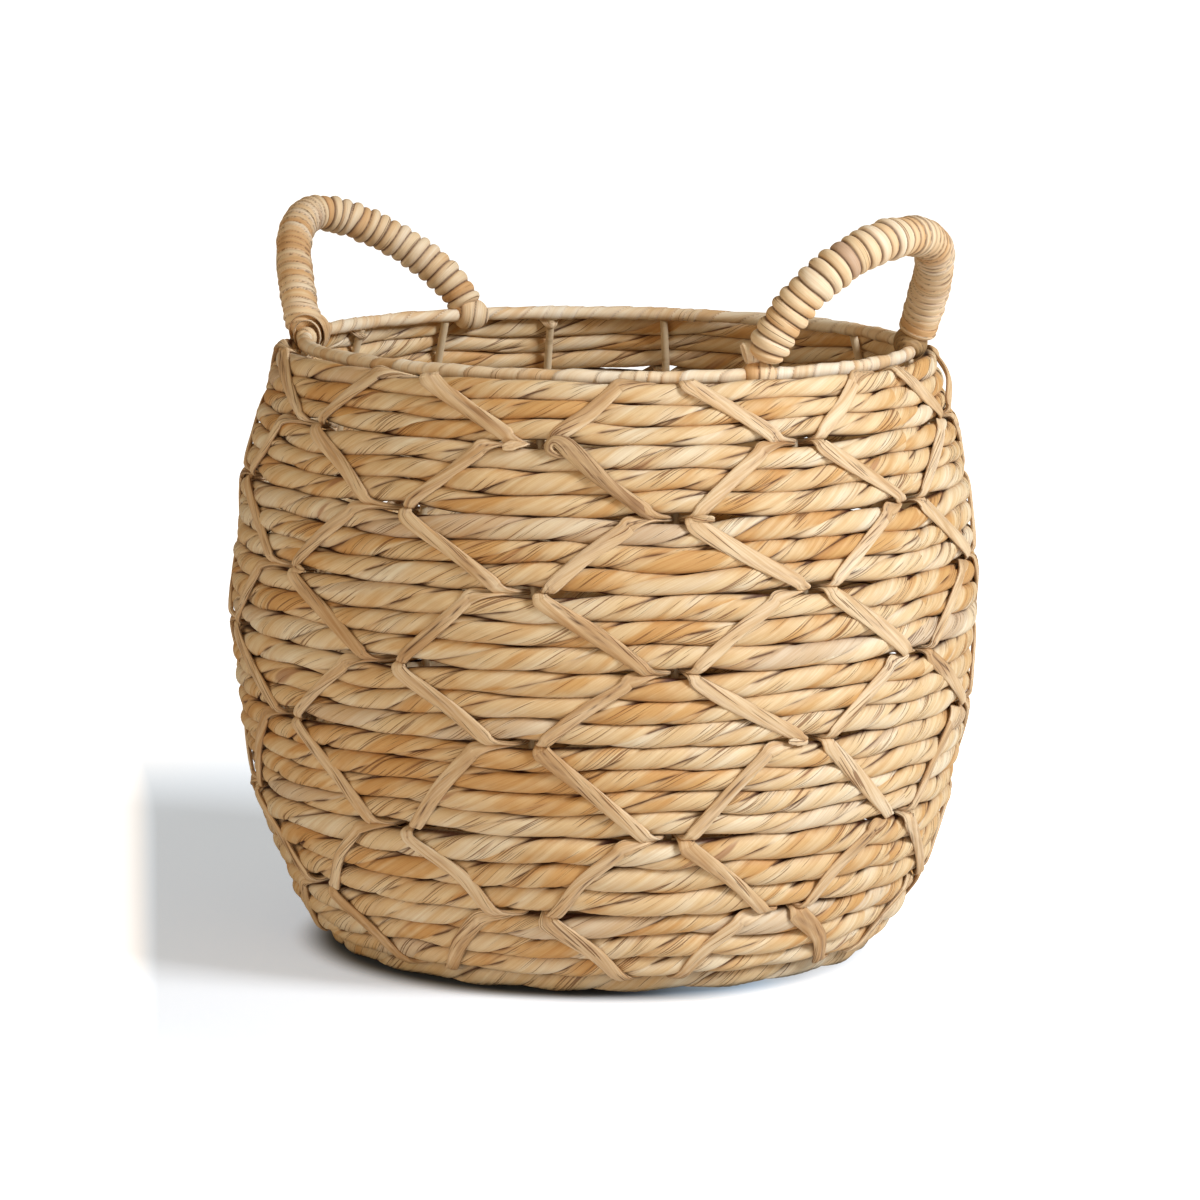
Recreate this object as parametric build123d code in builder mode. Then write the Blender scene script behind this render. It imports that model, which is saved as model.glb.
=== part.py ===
from build123d import *
from math import acos, asin, atan2, cos, degrees, hypot, radians, sin, sqrt
import os

os.makedirs("parts", exist_ok=True)

# A round, bellied basket: twisted leaf cords laid in rings round the outside of a welded wire frame
# and lashed to it, course by course, with zigzag leaf strips. Two stiff hoop handles lean outward.
# The origin is on the floor under the middle, +Z is up, and the handles stand on the X axis.

# Driving dimensions of the frame, in millimetres, taken at the middle of each wire
rim_radius = 150.0
rim_height = 300.0
belly_radius = 172.0
belly_height = 168.0
flat_radius = 113.0  # where the wall begins to turn up from the flat base
corner_radius = 30.0
rim_wire = 4.0
upright_wire = 4.0
base_ring_wire = 5.0
cross_wire = 4.0
cross_bars = 4
upright_pairs = 8  # the lashings skip every other upright, so they come in pairs

# Driving dimensions of the cords
cords_per_course = (3, 3, 3, 3, 3, 4, 3, 3)
course_cord_diameters = (9.4, 10.6, 11.2, 11.6, 11.1, 11.0, 12.9, 12.1)  # before they are packed in
edge_cord_diameter = 12.0
base_cord_diameter = 11.0
coil_groove = 3.2  # the depth of the groove that parts one turn of the coil from the next
smallest_eye = 4.0  # the least radius of the coil's eye, in the middle

# Driving dimensions of the strips
rim_wrap_thickness = 1.15
strip_width = 7.5
strip_thickness = 1.5
tongue_width = 8.0
tongue_thickness = 0.6  # where a strip is pinched between two courses
eye_wall = 1.2

# Driving dimensions of the handles
handle_foot_angle = 28.0  # from the handle's middle to each foot, round the rim
handle_diameter = 18.0
handle_wire = 5.0
tie_thickness = 1.8
tie_width = 18.0
handle_leans = {"right": 29.0, "left": 40.5}  # bent by hand, so the two differ
handle_headings = {"right": 0.0, "left": 180.0}

clearance = 0.15  # between any two pieces that touch

# The wires' line, in the half plane of one upright: an upper and a lower arc that meet upright at the
# belly, and a corner arc that rolls the wall into the base. The cords' line runs outside it.
upright_count = 2 * upright_pairs
upright_step = 360.0 / upright_count
wall_inset = upright_wire / 2 + clearance + base_cord_diameter / 2
corner_height = base_cord_diameter / 2 + wall_inset + corner_radius
shoulder = belly_radius - rim_radius
upper_rise = rim_height - belly_height
upper_radius = (shoulder**2 + upper_rise**2) / (2 * shoulder)
upper_angle = asin(upper_rise / upper_radius)
overhang = belly_radius - flat_radius
lower_drop = belly_height - corner_height
lower_radius = (overhang**2 + lower_drop**2 - corner_radius**2) / (2 * (overhang - corner_radius))
lower_angle = atan2(lower_drop, lower_radius - overhang)
upper_length = upper_angle * (upper_radius + wall_inset)
lower_length = lower_angle * (lower_radius + wall_inset)
rim_wrap_radius = rim_wire / 2 + clearance + rim_wrap_thickness


def wall_place(length, outward):
    """The radius, height and tilt of a place on the wall.

    The length runs down the cords' line from the rim, and outward is measured from the wires' line.
    The tilt is the angle of the wall's outward normal above the level, in radians.
    """
    if length < upper_length:
        tilt = upper_angle - length / (upper_radius + wall_inset)
        middle_radius, middle_height, bend = belly_radius - upper_radius, belly_height, upper_radius
    elif length < upper_length + lower_length:
        tilt = -(length - upper_length) / (lower_radius + wall_inset)
        middle_radius, middle_height, bend = belly_radius - lower_radius, belly_height, lower_radius
    else:
        tilt = -lower_angle - (length - upper_length - lower_length) / (corner_radius + wall_inset)
        middle_radius, middle_height, bend = flat_radius, corner_height, corner_radius
    reach = bend + outward
    return middle_radius + reach * cos(tilt), middle_height + reach * sin(tilt), tilt


def outward_plane(length, outward, azimuth):
    """A plane on the wall whose X runs level round the basket and whose Z points straight out of it."""
    radius, height, tilt = wall_place(length, outward)
    turn = radians(azimuth)
    return Plane(
        origin=(radius * cos(turn), radius * sin(turn), height),
        x_dir=(-sin(turn), cos(turn), 0),
        z_dir=(cos(tilt) * cos(turn), cos(tilt) * sin(turn), sin(tilt)),
    )


def upright_plane(length, azimuth):
    """A plane square across an upright."""
    across = outward_plane(length, 0, azimuth)
    return Plane(origin=across.origin, x_dir=across.x_dir, z_dir=across.y_dir)


# The edge cord lies in the corner, against the outermost turn of the base coil
turn_reach = hypot(base_cord_diameter / 2, corner_height - base_cord_diameter / 2)
turn_angle = atan2(corner_height - base_cord_diameter / 2, base_cord_diameter / 2)
edge_outward = upright_wire / 2 + clearance + edge_cord_diameter / 2
edge_reach = corner_radius + edge_outward
coil_turn_radius = hypot(base_cord_diameter / 2, base_cord_diameter / 2 - coil_groove)
edge_spacing = coil_turn_radius + edge_cord_diameter / 2 + clearance
edge_span = acos((turn_reach**2 + edge_reach**2 - edge_spacing**2) / (2 * turn_reach * edge_reach))
edge_length = (
    upper_length + lower_length + (turn_angle - edge_span - lower_angle) * (corner_radius + wall_inset)
)

# The cords are packed evenly between the rim and the edge cord, with a gap for the strips between
# one course and the next
course_gap = 2 * tongue_thickness + 3 * clearance
course_count = len(cords_per_course)
stack_top = rim_wrap_radius + course_gap
stack_bottom = edge_length - edge_cord_diameter / 2 - course_gap
loose_stack = sum(count * size for count, size in zip(cords_per_course, course_cord_diameters))
spare_gaps = (course_count - 1) * course_gap + sum(count - 1 for count in cords_per_course) * clearance
packing = (stack_bottom - stack_top - spare_gaps) / loose_stack
course_gaps = [rim_wrap_radius + course_gap / 2]  # the middle of the gap above each course, and below
course_cords = []  # for each course, its cords' diameter and their places down the wall
place = stack_top
for count, loose_diameter in zip(cords_per_course, course_cord_diameters):
    diameter = loose_diameter * packing
    pitch = diameter + clearance
    course_cords.append((diameter, [place + diameter / 2 + row * pitch for row in range(count)]))
    place += count * pitch - clearance + course_gap
    course_gaps.append(place - course_gap / 2)

# Rim: a closed wire ring, sealed in a leaf strip wound round it
with BuildPart() as frame_rim_ring:
    with BuildSketch(Plane.XZ):
        with Locations((rim_radius, rim_height)):
            Circle(rim_wire / 2)
    revolve(axis=Axis.Z)
frame_rim_ring.part.label = "frame_rim_ring"
export_step(frame_rim_ring.part, "parts/frame_rim_ring.step")

with BuildPart() as rim_wrap:
    with BuildSketch(Plane.XZ):
        with Locations((rim_radius, rim_height)):
            Circle(rim_wrap_radius)
            Circle(rim_wire / 2 + clearance, mode=Mode.SUBTRACT)
    revolve(axis=Axis.Z)
rim_wrap.part.label = "rim_wrap"
export_step(rim_wrap.part, "parts/rim_wrap.step")

# Base ring: it lies on the base coil, where the lower ends of the uprights meet it
base_ring_height = base_cord_diameter + clearance + base_ring_wire / 2
ring_reach = base_ring_wire / 2 + clearance
foot_angle = asin((corner_height - base_ring_height) / hypot(corner_radius, ring_reach)) - atan2(
    ring_reach, corner_radius
)
base_ring_radius = flat_radius + corner_radius * cos(foot_angle) - ring_reach * sin(foot_angle)
with BuildPart() as frame_base_ring:
    with BuildSketch(Plane.XZ):
        with Locations((base_ring_radius, base_ring_height)):
            Circle(base_ring_wire / 2)
    revolve(axis=Axis.Z)
frame_base_ring.part.label = "frame_base_ring"
export_step(frame_base_ring.part, "parts/frame_base_ring.step")

# Base cross: bars welded at the middle, inside the base ring
bar_length = 2 * (base_ring_radius - base_ring_wire / 2 - clearance)
bar_height = base_cord_diameter + clearance + cross_wire / 2
with BuildPart() as frame_base_cross:
    for bar in range(cross_bars):
        azimuth = radians((bar + 0.5) * 180.0 / cross_bars)
        bar_direction = (cos(azimuth), sin(azimuth), 0)
        with BuildSketch(Plane(origin=(0, 0, bar_height), z_dir=bar_direction)):
            Circle(cross_wire / 2)
        extrude(amount=bar_length / 2, both=True)
frame_base_cross.part.label = "frame_base_cross"
export_step(frame_base_cross.part, "parts/frame_base_cross.step")

# Uprights: each follows the wires' line from the rim wrap down to the base ring
top_trim = (rim_wrap_radius + clearance) / upper_radius
with BuildPart() as upright:
    with BuildLine(Plane.XZ) as wires_line:
        CenterArc(
            (belly_radius - upper_radius, belly_height),
            upper_radius,
            degrees(upper_angle - top_trim),
            -degrees(upper_angle - top_trim),
        )
        CenterArc((belly_radius - lower_radius, belly_height), lower_radius, 0, -degrees(lower_angle))
        CenterArc(
            (flat_radius, corner_height),
            corner_radius,
            -degrees(lower_angle),
            -degrees(foot_angle - lower_angle),
        )
    with BuildSketch(wires_line.line ^ 0):
        Circle(upright_wire / 2)
    sweep()
with BuildPart() as frame_uprights:
    with PolarLocations(0, upright_count):
        add(upright.part)
frame_uprights.part.label = "frame_uprights"
export_step(frame_uprights.part, "parts/frame_uprights.step")

# Wall cords: closed rings round the outside of the uprights, counted from the rim down
cord_number = 0
for diameter, lengths in course_cords:
    for length in lengths:
        cord_number += 1
        radius, height = wall_place(length, upright_wire / 2 + clearance + diameter / 2)[:2]
        with BuildPart() as wall_cord:
            with BuildSketch(Plane.XZ):
                with Locations((radius, height)):
                    Circle(diameter / 2)
            revolve(axis=Axis.Z)
        wall_cord.part.label = f"wall_cord_{cord_number:02}"
        export_step(wall_cord.part, f"parts/{wall_cord.part.label}.step")

# Edge cord: it turns the wall into the base
edge_radius, edge_height = wall_place(edge_length, edge_outward)[:2]
with BuildPart() as edge_cord:
    with BuildSketch(Plane.XZ):
        with Locations((edge_radius, edge_height)):
            Circle(edge_cord_diameter / 2)
    revolve(axis=Axis.Z)
edge_cord.part.label = "edge_cord"
export_step(edge_cord.part, "parts/edge_cord.step")

# Base coil: turns of cord from the edge to the middle, pressed flat where they meet and are stood on,
# with a groove above and below between each turn and the next
coil_radius = flat_radius + base_cord_diameter
coil_turns = int((coil_radius - smallest_eye) / base_cord_diameter)
with BuildPart() as base_coil:
    with BuildSketch(Plane.XZ):
        Rectangle(coil_radius, base_cord_diameter, align=Align.MIN)
        for turn in range(coil_turns + 1):
            groove_radius = coil_radius - turn * base_cord_diameter
            with Locations((groove_radius, 0), (groove_radius, base_cord_diameter)):
                Rectangle(coil_groove * sqrt(2), coil_groove * sqrt(2), rotation=45, mode=Mode.SUBTRACT)
    revolve(axis=Axis.Z)
base_coil.part.label = "base_coil"
export_step(base_coil.part, "parts/base_coil.step")

# Lashings: over each course one strip zigzags between the gap above and the gap below. At every turn
# it dives between the courses as a flat tongue, with an eye round the upright there.
strand_margin = 4.0  # by which a strand's cutter passes the strip on every side
for course in range(course_count):
    cord_diameter, lengths = course_cords[course]
    strip_inside = upright_wire / 2 + cord_diameter + 2 * clearance
    strip_outside = strip_inside + strip_thickness
    top_tongue = course_gaps[course] + (tongue_thickness + clearance) / 2
    bottom_tongue = course_gaps[course + 1] - (tongue_thickness + clearance) / 2
    top_edge = top_tongue - tongue_thickness / 2
    bottom_edge = bottom_tongue + tongue_thickness / 2
    top_radius, top_height = wall_place(top_edge, strip_outside)[:2]
    bottom_radius, bottom_height = wall_place(bottom_edge, strip_outside)[:2]
    half_step = radians(upright_step / 2)

    # The slanting strands, seen from outside, cut straight toward the basket's axis
    slant = Vector((top_radius + bottom_radius) * sin(half_step), bottom_height - top_height).normalized()
    beyond = slant * (strip_width + strand_margin)
    aside = Vector(-slant.Y, slant.X) * strip_width / 2
    strand_top = Vector(-top_radius * sin(half_step), top_height) - beyond
    strand_bottom = Vector(bottom_radius * sin(half_step), bottom_height) + beyond
    corners = [strand_top + aside, strand_bottom + aside, strand_bottom - aside, strand_top - aside]
    strand_start = (min(top_radius, bottom_radius) - strip_thickness) * cos(half_step) - strand_margin
    strand_reach = belly_radius + strip_outside + strand_margin - strand_start
    with BuildPart() as strands:
        for upright_number in range(upright_count):
            heading = radians((upright_number + 0.5) * upright_step)
            falls = (upright_number + course) % 2 == 0
            side = 1 if falls else -1
            strand_plane = Plane(
                origin=(0, 0, 0), x_dir=(-sin(heading), cos(heading), 0), z_dir=(cos(heading), sin(heading), 0)
            )
            with BuildSketch(strand_plane.offset(strand_start)):
                Polygon(*[(side * corner.X, corner.Y) for corner in corners], align=None)
            extrude(amount=strand_reach)

    # The uprights that this lashing goes round, above the course and below it
    top_azimuths = [upright_step * (2 * pair + course % 2) for pair in range(upright_pairs)]
    bottom_azimuths = [azimuth + upright_step for azimuth in top_azimuths]
    eyes = [(top_tongue, azimuth) for azimuth in top_azimuths]
    eyes += [(bottom_tongue, azimuth) for azimuth in bottom_azimuths]
    tongue_reach = upright_wire / 2 + clearance + eye_wall
    with BuildPart() as lashing:
        with BuildSketch(Plane.XZ):
            stations = [top_edge, *lengths, bottom_edge]
            inner_edge = [wall_place(station, strip_inside)[:2] for station in stations]
            outer_edge = [wall_place(station, strip_outside)[:2] for station in reversed(stations)]
            Polygon(*inner_edge, *outer_edge, align=None)
        revolve(axis=Axis.Z)
        add(strands.part, mode=Mode.INTERSECT)
        with BuildSketch(*[outward_plane(length, -tongue_reach, azimuth) for length, azimuth in eyes]):
            Rectangle(tongue_width, tongue_thickness)
        extrude(amount=tongue_reach + strip_inside + strip_thickness / 2)
        with BuildSketch(*[upright_plane(length, azimuth) for length, azimuth in eyes]):
            Circle(upright_wire / 2 + clearance)
        extrude(amount=tongue_thickness, both=True, mode=Mode.SUBTRACT)
    lashing.part.label = f"lashing_{course + 1}"
    export_step(lashing.part, f"parts/{lashing.part.label}.step")

# Handles: a wire hoop inside a wound wrap stands on two ties, which are wound round the rim
foot = radians(handle_foot_angle)
hoop_radius = rim_radius * sin(foot)
tie_radius = rim_wrap_radius + clearance + tie_thickness
for side_name, lean_angle in handle_leans.items():
    lean = radians(lean_angle)
    heading = radians(handle_headings[side_name])
    hoop_plane = Plane(
        origin=(rim_radius * cos(foot) * cos(heading), rim_radius * cos(foot) * sin(heading), rim_height),
        x_dir=(-sin(heading), cos(heading), 0),
        z_dir=(cos(lean) * cos(heading), cos(lean) * sin(heading), -sin(lean)),
    )
    # The hoop starts clear of the ties, which rise under it as the rim curves outward
    rise = tie_radius + clearance + handle_diameter / 2 * sin(foot) * sin(lean)
    start_angle = degrees(asin(rise / (hoop_radius - handle_diameter / 2)))

    with BuildPart() as core:
        with BuildLine(hoop_plane) as hoop_line:
            CenterArc((0, 0), hoop_radius, start_angle, 180 - 2 * start_angle)
        with BuildSketch(hoop_line.line ^ 0):
            Circle(handle_wire / 2)
        sweep()
    core.part.label = f"handle_{side_name}_core"
    export_step(core.part, f"parts/{core.part.label}.step")

    with BuildPart() as wrap:
        with BuildLine(hoop_plane) as hoop_line:
            CenterArc((0, 0), hoop_radius, start_angle, 180 - 2 * start_angle)
        with BuildSketch(hoop_line.line ^ 0):
            Circle(handle_diameter / 2)
            Circle(handle_wire / 2 + clearance, mode=Mode.SUBTRACT)
        sweep()
    wrap.part.label = f"handle_{side_name}_wrap"
    export_step(wrap.part, f"parts/{wrap.part.label}.step")

    tie_span = degrees(tie_width / rim_radius)
    for end_name, end_angle in (("front", -handle_foot_angle), ("back", handle_foot_angle)):
        tie_azimuth = handle_headings[side_name] + end_angle * cos(heading)
        start = radians(tie_azimuth - tie_span / 2)
        with BuildPart() as tie:
            with BuildSketch(
                Plane(origin=(0, 0, 0), x_dir=(cos(start), sin(start), 0), z_dir=(sin(start), -cos(start), 0))
            ):
                with Locations((rim_radius, rim_height)):
                    Circle(tie_radius)
                    Circle(rim_wrap_radius + clearance, mode=Mode.SUBTRACT)
            revolve(axis=Axis.Z, revolution_arc=tie_span)
        tie.part.label = f"handle_{side_name}_{end_name}_tie"
        export_step(tie.part, f"parts/{tie.part.label}.step")
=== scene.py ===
"""A bellied storage basket of twisted leaf cord on a wire frame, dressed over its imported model.

Every length is in metres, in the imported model's own frame: the floor is at Z = 0, the basket stands
on it round the Z axis, and its two handles stand on the X axis. The places of the pieces are read
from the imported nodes, so they follow the model when it changes.
"""
import logging
from dataclasses import dataclass, field
from enum import Enum
from math import atan2, cos, pi, radians, sin, tau

import bpy
import numpy as np
from mathutils import Matrix, Vector


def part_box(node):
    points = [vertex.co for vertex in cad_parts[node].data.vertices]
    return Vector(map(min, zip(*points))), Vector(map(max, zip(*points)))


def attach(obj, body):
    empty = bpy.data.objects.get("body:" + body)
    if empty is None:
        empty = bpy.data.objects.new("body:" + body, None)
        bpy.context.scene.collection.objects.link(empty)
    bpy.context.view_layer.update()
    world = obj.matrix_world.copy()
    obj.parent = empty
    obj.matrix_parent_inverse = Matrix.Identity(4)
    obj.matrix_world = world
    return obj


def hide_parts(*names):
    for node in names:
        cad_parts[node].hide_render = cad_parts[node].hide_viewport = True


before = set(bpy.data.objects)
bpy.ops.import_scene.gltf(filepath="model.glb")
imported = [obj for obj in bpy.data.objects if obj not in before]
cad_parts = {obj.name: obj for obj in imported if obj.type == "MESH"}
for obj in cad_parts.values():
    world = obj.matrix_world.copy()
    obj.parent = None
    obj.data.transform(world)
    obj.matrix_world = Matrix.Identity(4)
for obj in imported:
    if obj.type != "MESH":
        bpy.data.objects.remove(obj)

Array = np.ndarray
Colour = tuple[float, float, float]

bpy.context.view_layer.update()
MM = 0.001
log = logging.getLogger("basket")


# ---------------------------------------------------------------------------------------------------
# Small tools
# ---------------------------------------------------------------------------------------------------

def shade(red: float, green: float, blue: float) -> Colour:
    """Turn a colour as it looks on a screen into the linear colour that a shader takes.

    Args:
        red: The red share, from 0 to 1.
        green: The green share.
        blue: The blue share.

    Returns:
        The linear colour.
    """
    return tuple(v / 12.92 if v <= 0.04045 else ((v + 0.055) / 1.055) ** 2.4 for v in (red, green, blue))


def ring_noise(angle: Array, rng: np.random.Generator, lowest: int, highest: int) -> Array:
    """Make smooth noise that closes on itself round a ring.

    Args:
        angle: The angles round the ring, in radians.
        rng: The source of the random phases and heights.
        lowest: The fewest waves in one turn.
        highest: The most waves in one turn.

    Returns:
        The noise at each angle, about 1 in size.
    """
    waves = np.arange(lowest, highest + 1)
    heights = rng.normal(size=waves.size)
    phases = rng.uniform(0, tau, waves.size)
    total = (heights[:, None] * np.cos(waves[:, None] * angle[None, :] + phases[:, None])).sum(0)
    return total * np.sqrt(2 / waves.size)


def bump(distance: Array, width: float) -> Array:
    """Give a smooth bell, 1 at no distance and small beyond the width."""
    return np.exp(-((distance / width) ** 2))


def wedge(distance: Array, reach: Array) -> Array:
    """Give a wedge that is 1 at no distance and falls almost straight to 0 at the reach."""
    away = np.sqrt(distance**2 + (4 * MM) ** 2) - 4 * MM
    return np.clip(1 - away / reach, 0, 1) ** 1.25


def smooth_route(points: Array, per_span: int, closed: bool) -> Array:
    """Lead a smooth curve through points, as a Catmull-Rom spline.

    Args:
        points: The points, or any values that go with them, one row each.
        per_span: How many samples each span gets.
        closed: Whether the last point joins the first.

    Returns:
        The samples, one row each. A closed route ends just before its first point again.
    """
    count = len(points)
    spans = count if closed else count - 1
    at = np.arange(spans * per_span + (0 if closed else 1)) / per_span
    span = np.minimum(at.astype(int), spans - 1)
    share = (at - span)[:, None]

    def knot(step: int) -> Array:
        """Give the points that stand a number of steps after each span's start."""
        where = span + step
        return points[where % count] if closed else points[np.clip(where, 0, count - 1)]

    before, start, end, after = knot(-1), knot(0), knot(1), knot(2)
    return 0.5 * (
        2 * start
        + (end - before) * share
        + (2 * before - 5 * start + 4 * end - after) * share**2
        + (3 * start - before - 3 * end + after) * share**3
    )


def unit(vectors: Array) -> Array:
    """Scale each vector to a length of 1."""
    return vectors / np.maximum(np.linalg.norm(vectors, axis=-1, keepdims=True), 1e-12)


# ---------------------------------------------------------------------------------------------------
# Skins: meshes swept along a route, with the values that the leaf material reads
# ---------------------------------------------------------------------------------------------------

@dataclass
class Skin:
    """A tube mesh on a grid of rows along a route and columns round it.

    The grids that a material reads have one more row and one more column than a closed tube has
    points, so that they can run on across the join.
    """

    name: str
    points: Array  # rows x columns x 3
    along: Array  # metres along the leaf's fibres, (rows + 1) x (columns + 1)
    across: Array  # metres across the fibres
    tone: Array  # which leaf of the palette, from 0 to 1
    crest: Array  # 0 in a groove or against a neighbour, 1 on a crest: where it is low the material paints shade
    closed: bool = True
    bake_rows: int = 6
    grain: float = 0.5  # the number that its fibre pattern grows from

    def build(self) -> bpy.types.Object:
        """Make the mesh object, with its fibre map, its leaf values and its bake map.

        Returns:
            The object, linked to the scene.
        """
        rows, columns = self.points.shape[:2]
        spans = rows if self.closed else rows - 1
        row, column = np.meshgrid(np.arange(spans), np.arange(columns), indexing="ij")
        next_row, next_column = (row + 1) % rows, (column + 1) % columns
        corners = np.stack(
            [
                row * columns + column,
                row * columns + next_column,
                next_row * columns + next_column,
                next_row * columns + column,
            ],
            axis=-1,
        ).reshape(-1, 4)
        grid_row = np.stack([row, row, row + 1, row + 1], axis=-1).reshape(-1)
        grid_column = np.stack([column, column + 1, column + 1, column], axis=-1).reshape(-1)

        mesh = bpy.data.meshes.new(self.name)
        caps = [] if self.closed else [np.arange(columns)[::-1], (rows - 1) * columns + np.arange(columns)]
        mesh.vertices.add(rows * columns)
        mesh.vertices.foreach_set("co", self.points.reshape(-1).astype(np.float32))
        loops = np.concatenate([corners.reshape(-1), *caps]) if caps else corners.reshape(-1)
        mesh.loops.add(loops.size)
        mesh.loops.foreach_set("vertex_index", loops.astype(np.int32))
        starts = np.arange(len(corners)) * 4
        if caps:
            starts = np.concatenate([starts, len(corners) * 4 + np.array([0, columns])])
        mesh.polygons.add(starts.size)
        mesh.polygons.foreach_set("loop_start", starts.astype(np.int32))
        mesh.update(calc_edges=True)
        mesh.polygons.foreach_set("use_smooth", np.ones(starts.size, dtype=bool))

        cap_rows = np.repeat([0, rows - 1], columns) if caps else np.zeros(0, dtype=int)
        cap_columns = np.concatenate([np.arange(columns)[::-1], np.arange(columns)]) if caps else cap_rows
        all_rows = np.concatenate([grid_row, cap_rows])
        all_columns = np.concatenate([grid_column, cap_columns])
        self._write_map(mesh, "Fibre", self.along[all_rows, all_columns], self.across[all_rows, all_columns])
        leaf = mesh.attributes.new("Leaf", "FLOAT_COLOR", "CORNER")
        values = np.ones((loops.size, 4), dtype=np.float32)
        values[:, 0] = self.tone[all_rows, all_columns]
        values[:, 1] = self.crest[all_rows, all_columns]
        values[:, 2] = self.grain
        leaf.data.foreach_set("color", values.reshape(-1))
        self._write_bake_map(mesh, spans, columns, grid_row, grid_column, len(corners) * 4, loops.size)
        mesh.validate()

        piece = bpy.data.objects.new(self.name, mesh)
        bpy.context.scene.collection.objects.link(piece)
        return piece

    @staticmethod
    def _write_map(mesh: bpy.types.Mesh, name: str, first: Array, second: Array) -> None:
        """Write a UV map from its two coordinates, one value for each face corner."""
        layer = mesh.uv_layers.new(name=name)
        layer.data.foreach_set("uv", np.stack([first, second], axis=-1).reshape(-1).astype(np.float32))

    def _write_bake_map(self, mesh: bpy.types.Mesh, spans: int, columns: int, row: Array, column: Array,
                        sides: int, loops: int) -> None:
        """Lay the tube out flat for baking, cut into strips that are stacked in the unit square.

        Args:
            mesh: The mesh to write to.
            spans: The number of face rows along the tube.
            columns: The number of face columns round it.
            row: The grid row of each corner of the side faces.
            column: The grid column of each corner of the side faces.
            sides: The number of corners that the side faces have.
            loops: The number of corners in all, with the caps.
        """
        margin = 0.004
        strips = self.bake_rows + (0 if self.closed else 1)
        per_strip = int(np.ceil(spans / self.bake_rows))
        face_row = np.repeat(row.reshape(-1, 4).min(axis=1), 4)
        strip = face_row // per_strip
        flat_u = margin + (1 - 2 * margin) * (row - strip * per_strip) / per_strip
        flat_v = (strip + 0.04 + 0.92 * column / columns) / strips
        bake_u, bake_v = np.zeros(loops), np.zeros(loops)
        bake_u[:sides], bake_v[:sides] = flat_u, flat_v
        if not self.closed:
            turn = np.arange(columns) * tau / columns
            radius = 0.45 / strips
            for cap, middle in enumerate((0.2, 0.6)):
                way = turn[::-1] if cap == 0 else turn
                first = sides + cap * columns
                bake_u[first:first + columns] = middle + radius * np.cos(way)
                bake_v[first:first + columns] = 1 - 0.5 / strips + radius * np.sin(way)
        self._write_map(mesh, "OFBake", bake_u, bake_v)


# ---------------------------------------------------------------------------------------------------
# The wall that the pieces lie on
# ---------------------------------------------------------------------------------------------------

@dataclass
class Wall:
    """The wall's shape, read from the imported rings: its wires' line and how far down each cord lies."""

    cords_per_course: tuple[int, ...] = (3, 3, 3, 3, 3, 4, 3, 3)
    upright_count: int = 16
    upright_half: float = 2.15 * MM  # half an upright's wire and its clearance to the cords
    lengths: Array = field(init=False)
    halves: Array = field(init=False)
    wire_radius: Array = field(init=False)
    wire_height: Array = field(init=False)
    normal: Array = field(init=False)
    boundaries: Array = field(init=False)

    def __post_init__(self) -> None:
        """Read the rings and work out the wires' line."""
        cord_count = sum(self.cords_per_course)
        names = ["frame_rim_ring", *[f"wall_cord_{n:02}" for n in range(1, cord_count + 1)], "edge_cord"]
        corners = [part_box(name) for name in names]
        middle = np.array([(high.x - (high.z - low.z) / 2, (high.z + low.z) / 2) for low, high in corners])
        self.halves = np.array([(high.z - low.z) / 2 for low, high in corners])
        lean = np.gradient(middle, axis=0)
        lean[0] = middle[2] - middle[1]
        self.normal = unit(np.stack([-lean[:, 1], lean[:, 0]], axis=-1))
        outward = self.halves + self.upright_half
        outward[0] = 0
        wires = middle - self.normal * outward[:, None]
        self.wire_radius, self.wire_height = wires[:, 0], wires[:, 1]
        typical = wires + self.normal * outward[1:-1].mean()
        steps = np.linalg.norm(np.diff(typical, axis=0), axis=1)
        self.lengths = np.concatenate([[0], np.cumsum(steps)])
        self.boundaries = self._find_boundaries()

    def _find_boundaries(self) -> Array:
        """Find the middle of the gap above each course, and below the last one."""
        rim_half = (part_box("rim_wrap")[1].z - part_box("rim_wrap")[0].z) / 2
        edges = []
        first = 1
        above = rim_half
        for count in (*self.cords_per_course, 1):
            below = self.lengths[first] - self.halves[first]
            edges.append((above + below) / 2)
            above = self.lengths[first + count - 1] + self.halves[first + count - 1]
            first += count
        return np.array(edges)

    def place(self, length: Array, outward: Array, azimuth: Array) -> Array:
        """Find places on the wall.

        Args:
            length: How far down the wall from the rim, along the cords.
            outward: How far out from the wires' line.
            azimuth: The angle round the basket, in radians.

        Returns:
            The places, with X, Y and Z last.
        """
        length, outward, azimuth = np.broadcast_arrays(length, outward, azimuth)
        lean = unit(np.stack([np.interp(length, self.lengths, self.normal[:, i]) for i in (0, 1)], axis=-1))
        radius = np.interp(length, self.lengths, self.wire_radius) + outward * lean[..., 0]
        height = np.interp(length, self.lengths, self.wire_height) + outward * lean[..., 1]
        return np.stack([radius * np.cos(azimuth), radius * np.sin(azimuth), height], axis=-1)

    def radius_at(self, length: float) -> float:
        """Give the radius of the wires' line at a length down the wall."""
        return float(np.interp(length, self.lengths, self.wire_radius))

    def course_depth(self, course: int) -> float:
        """Give the thickness of a course's cords."""
        first = 1 + sum(self.cords_per_course[:course])
        return float(2 * self.halves[first])


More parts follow.
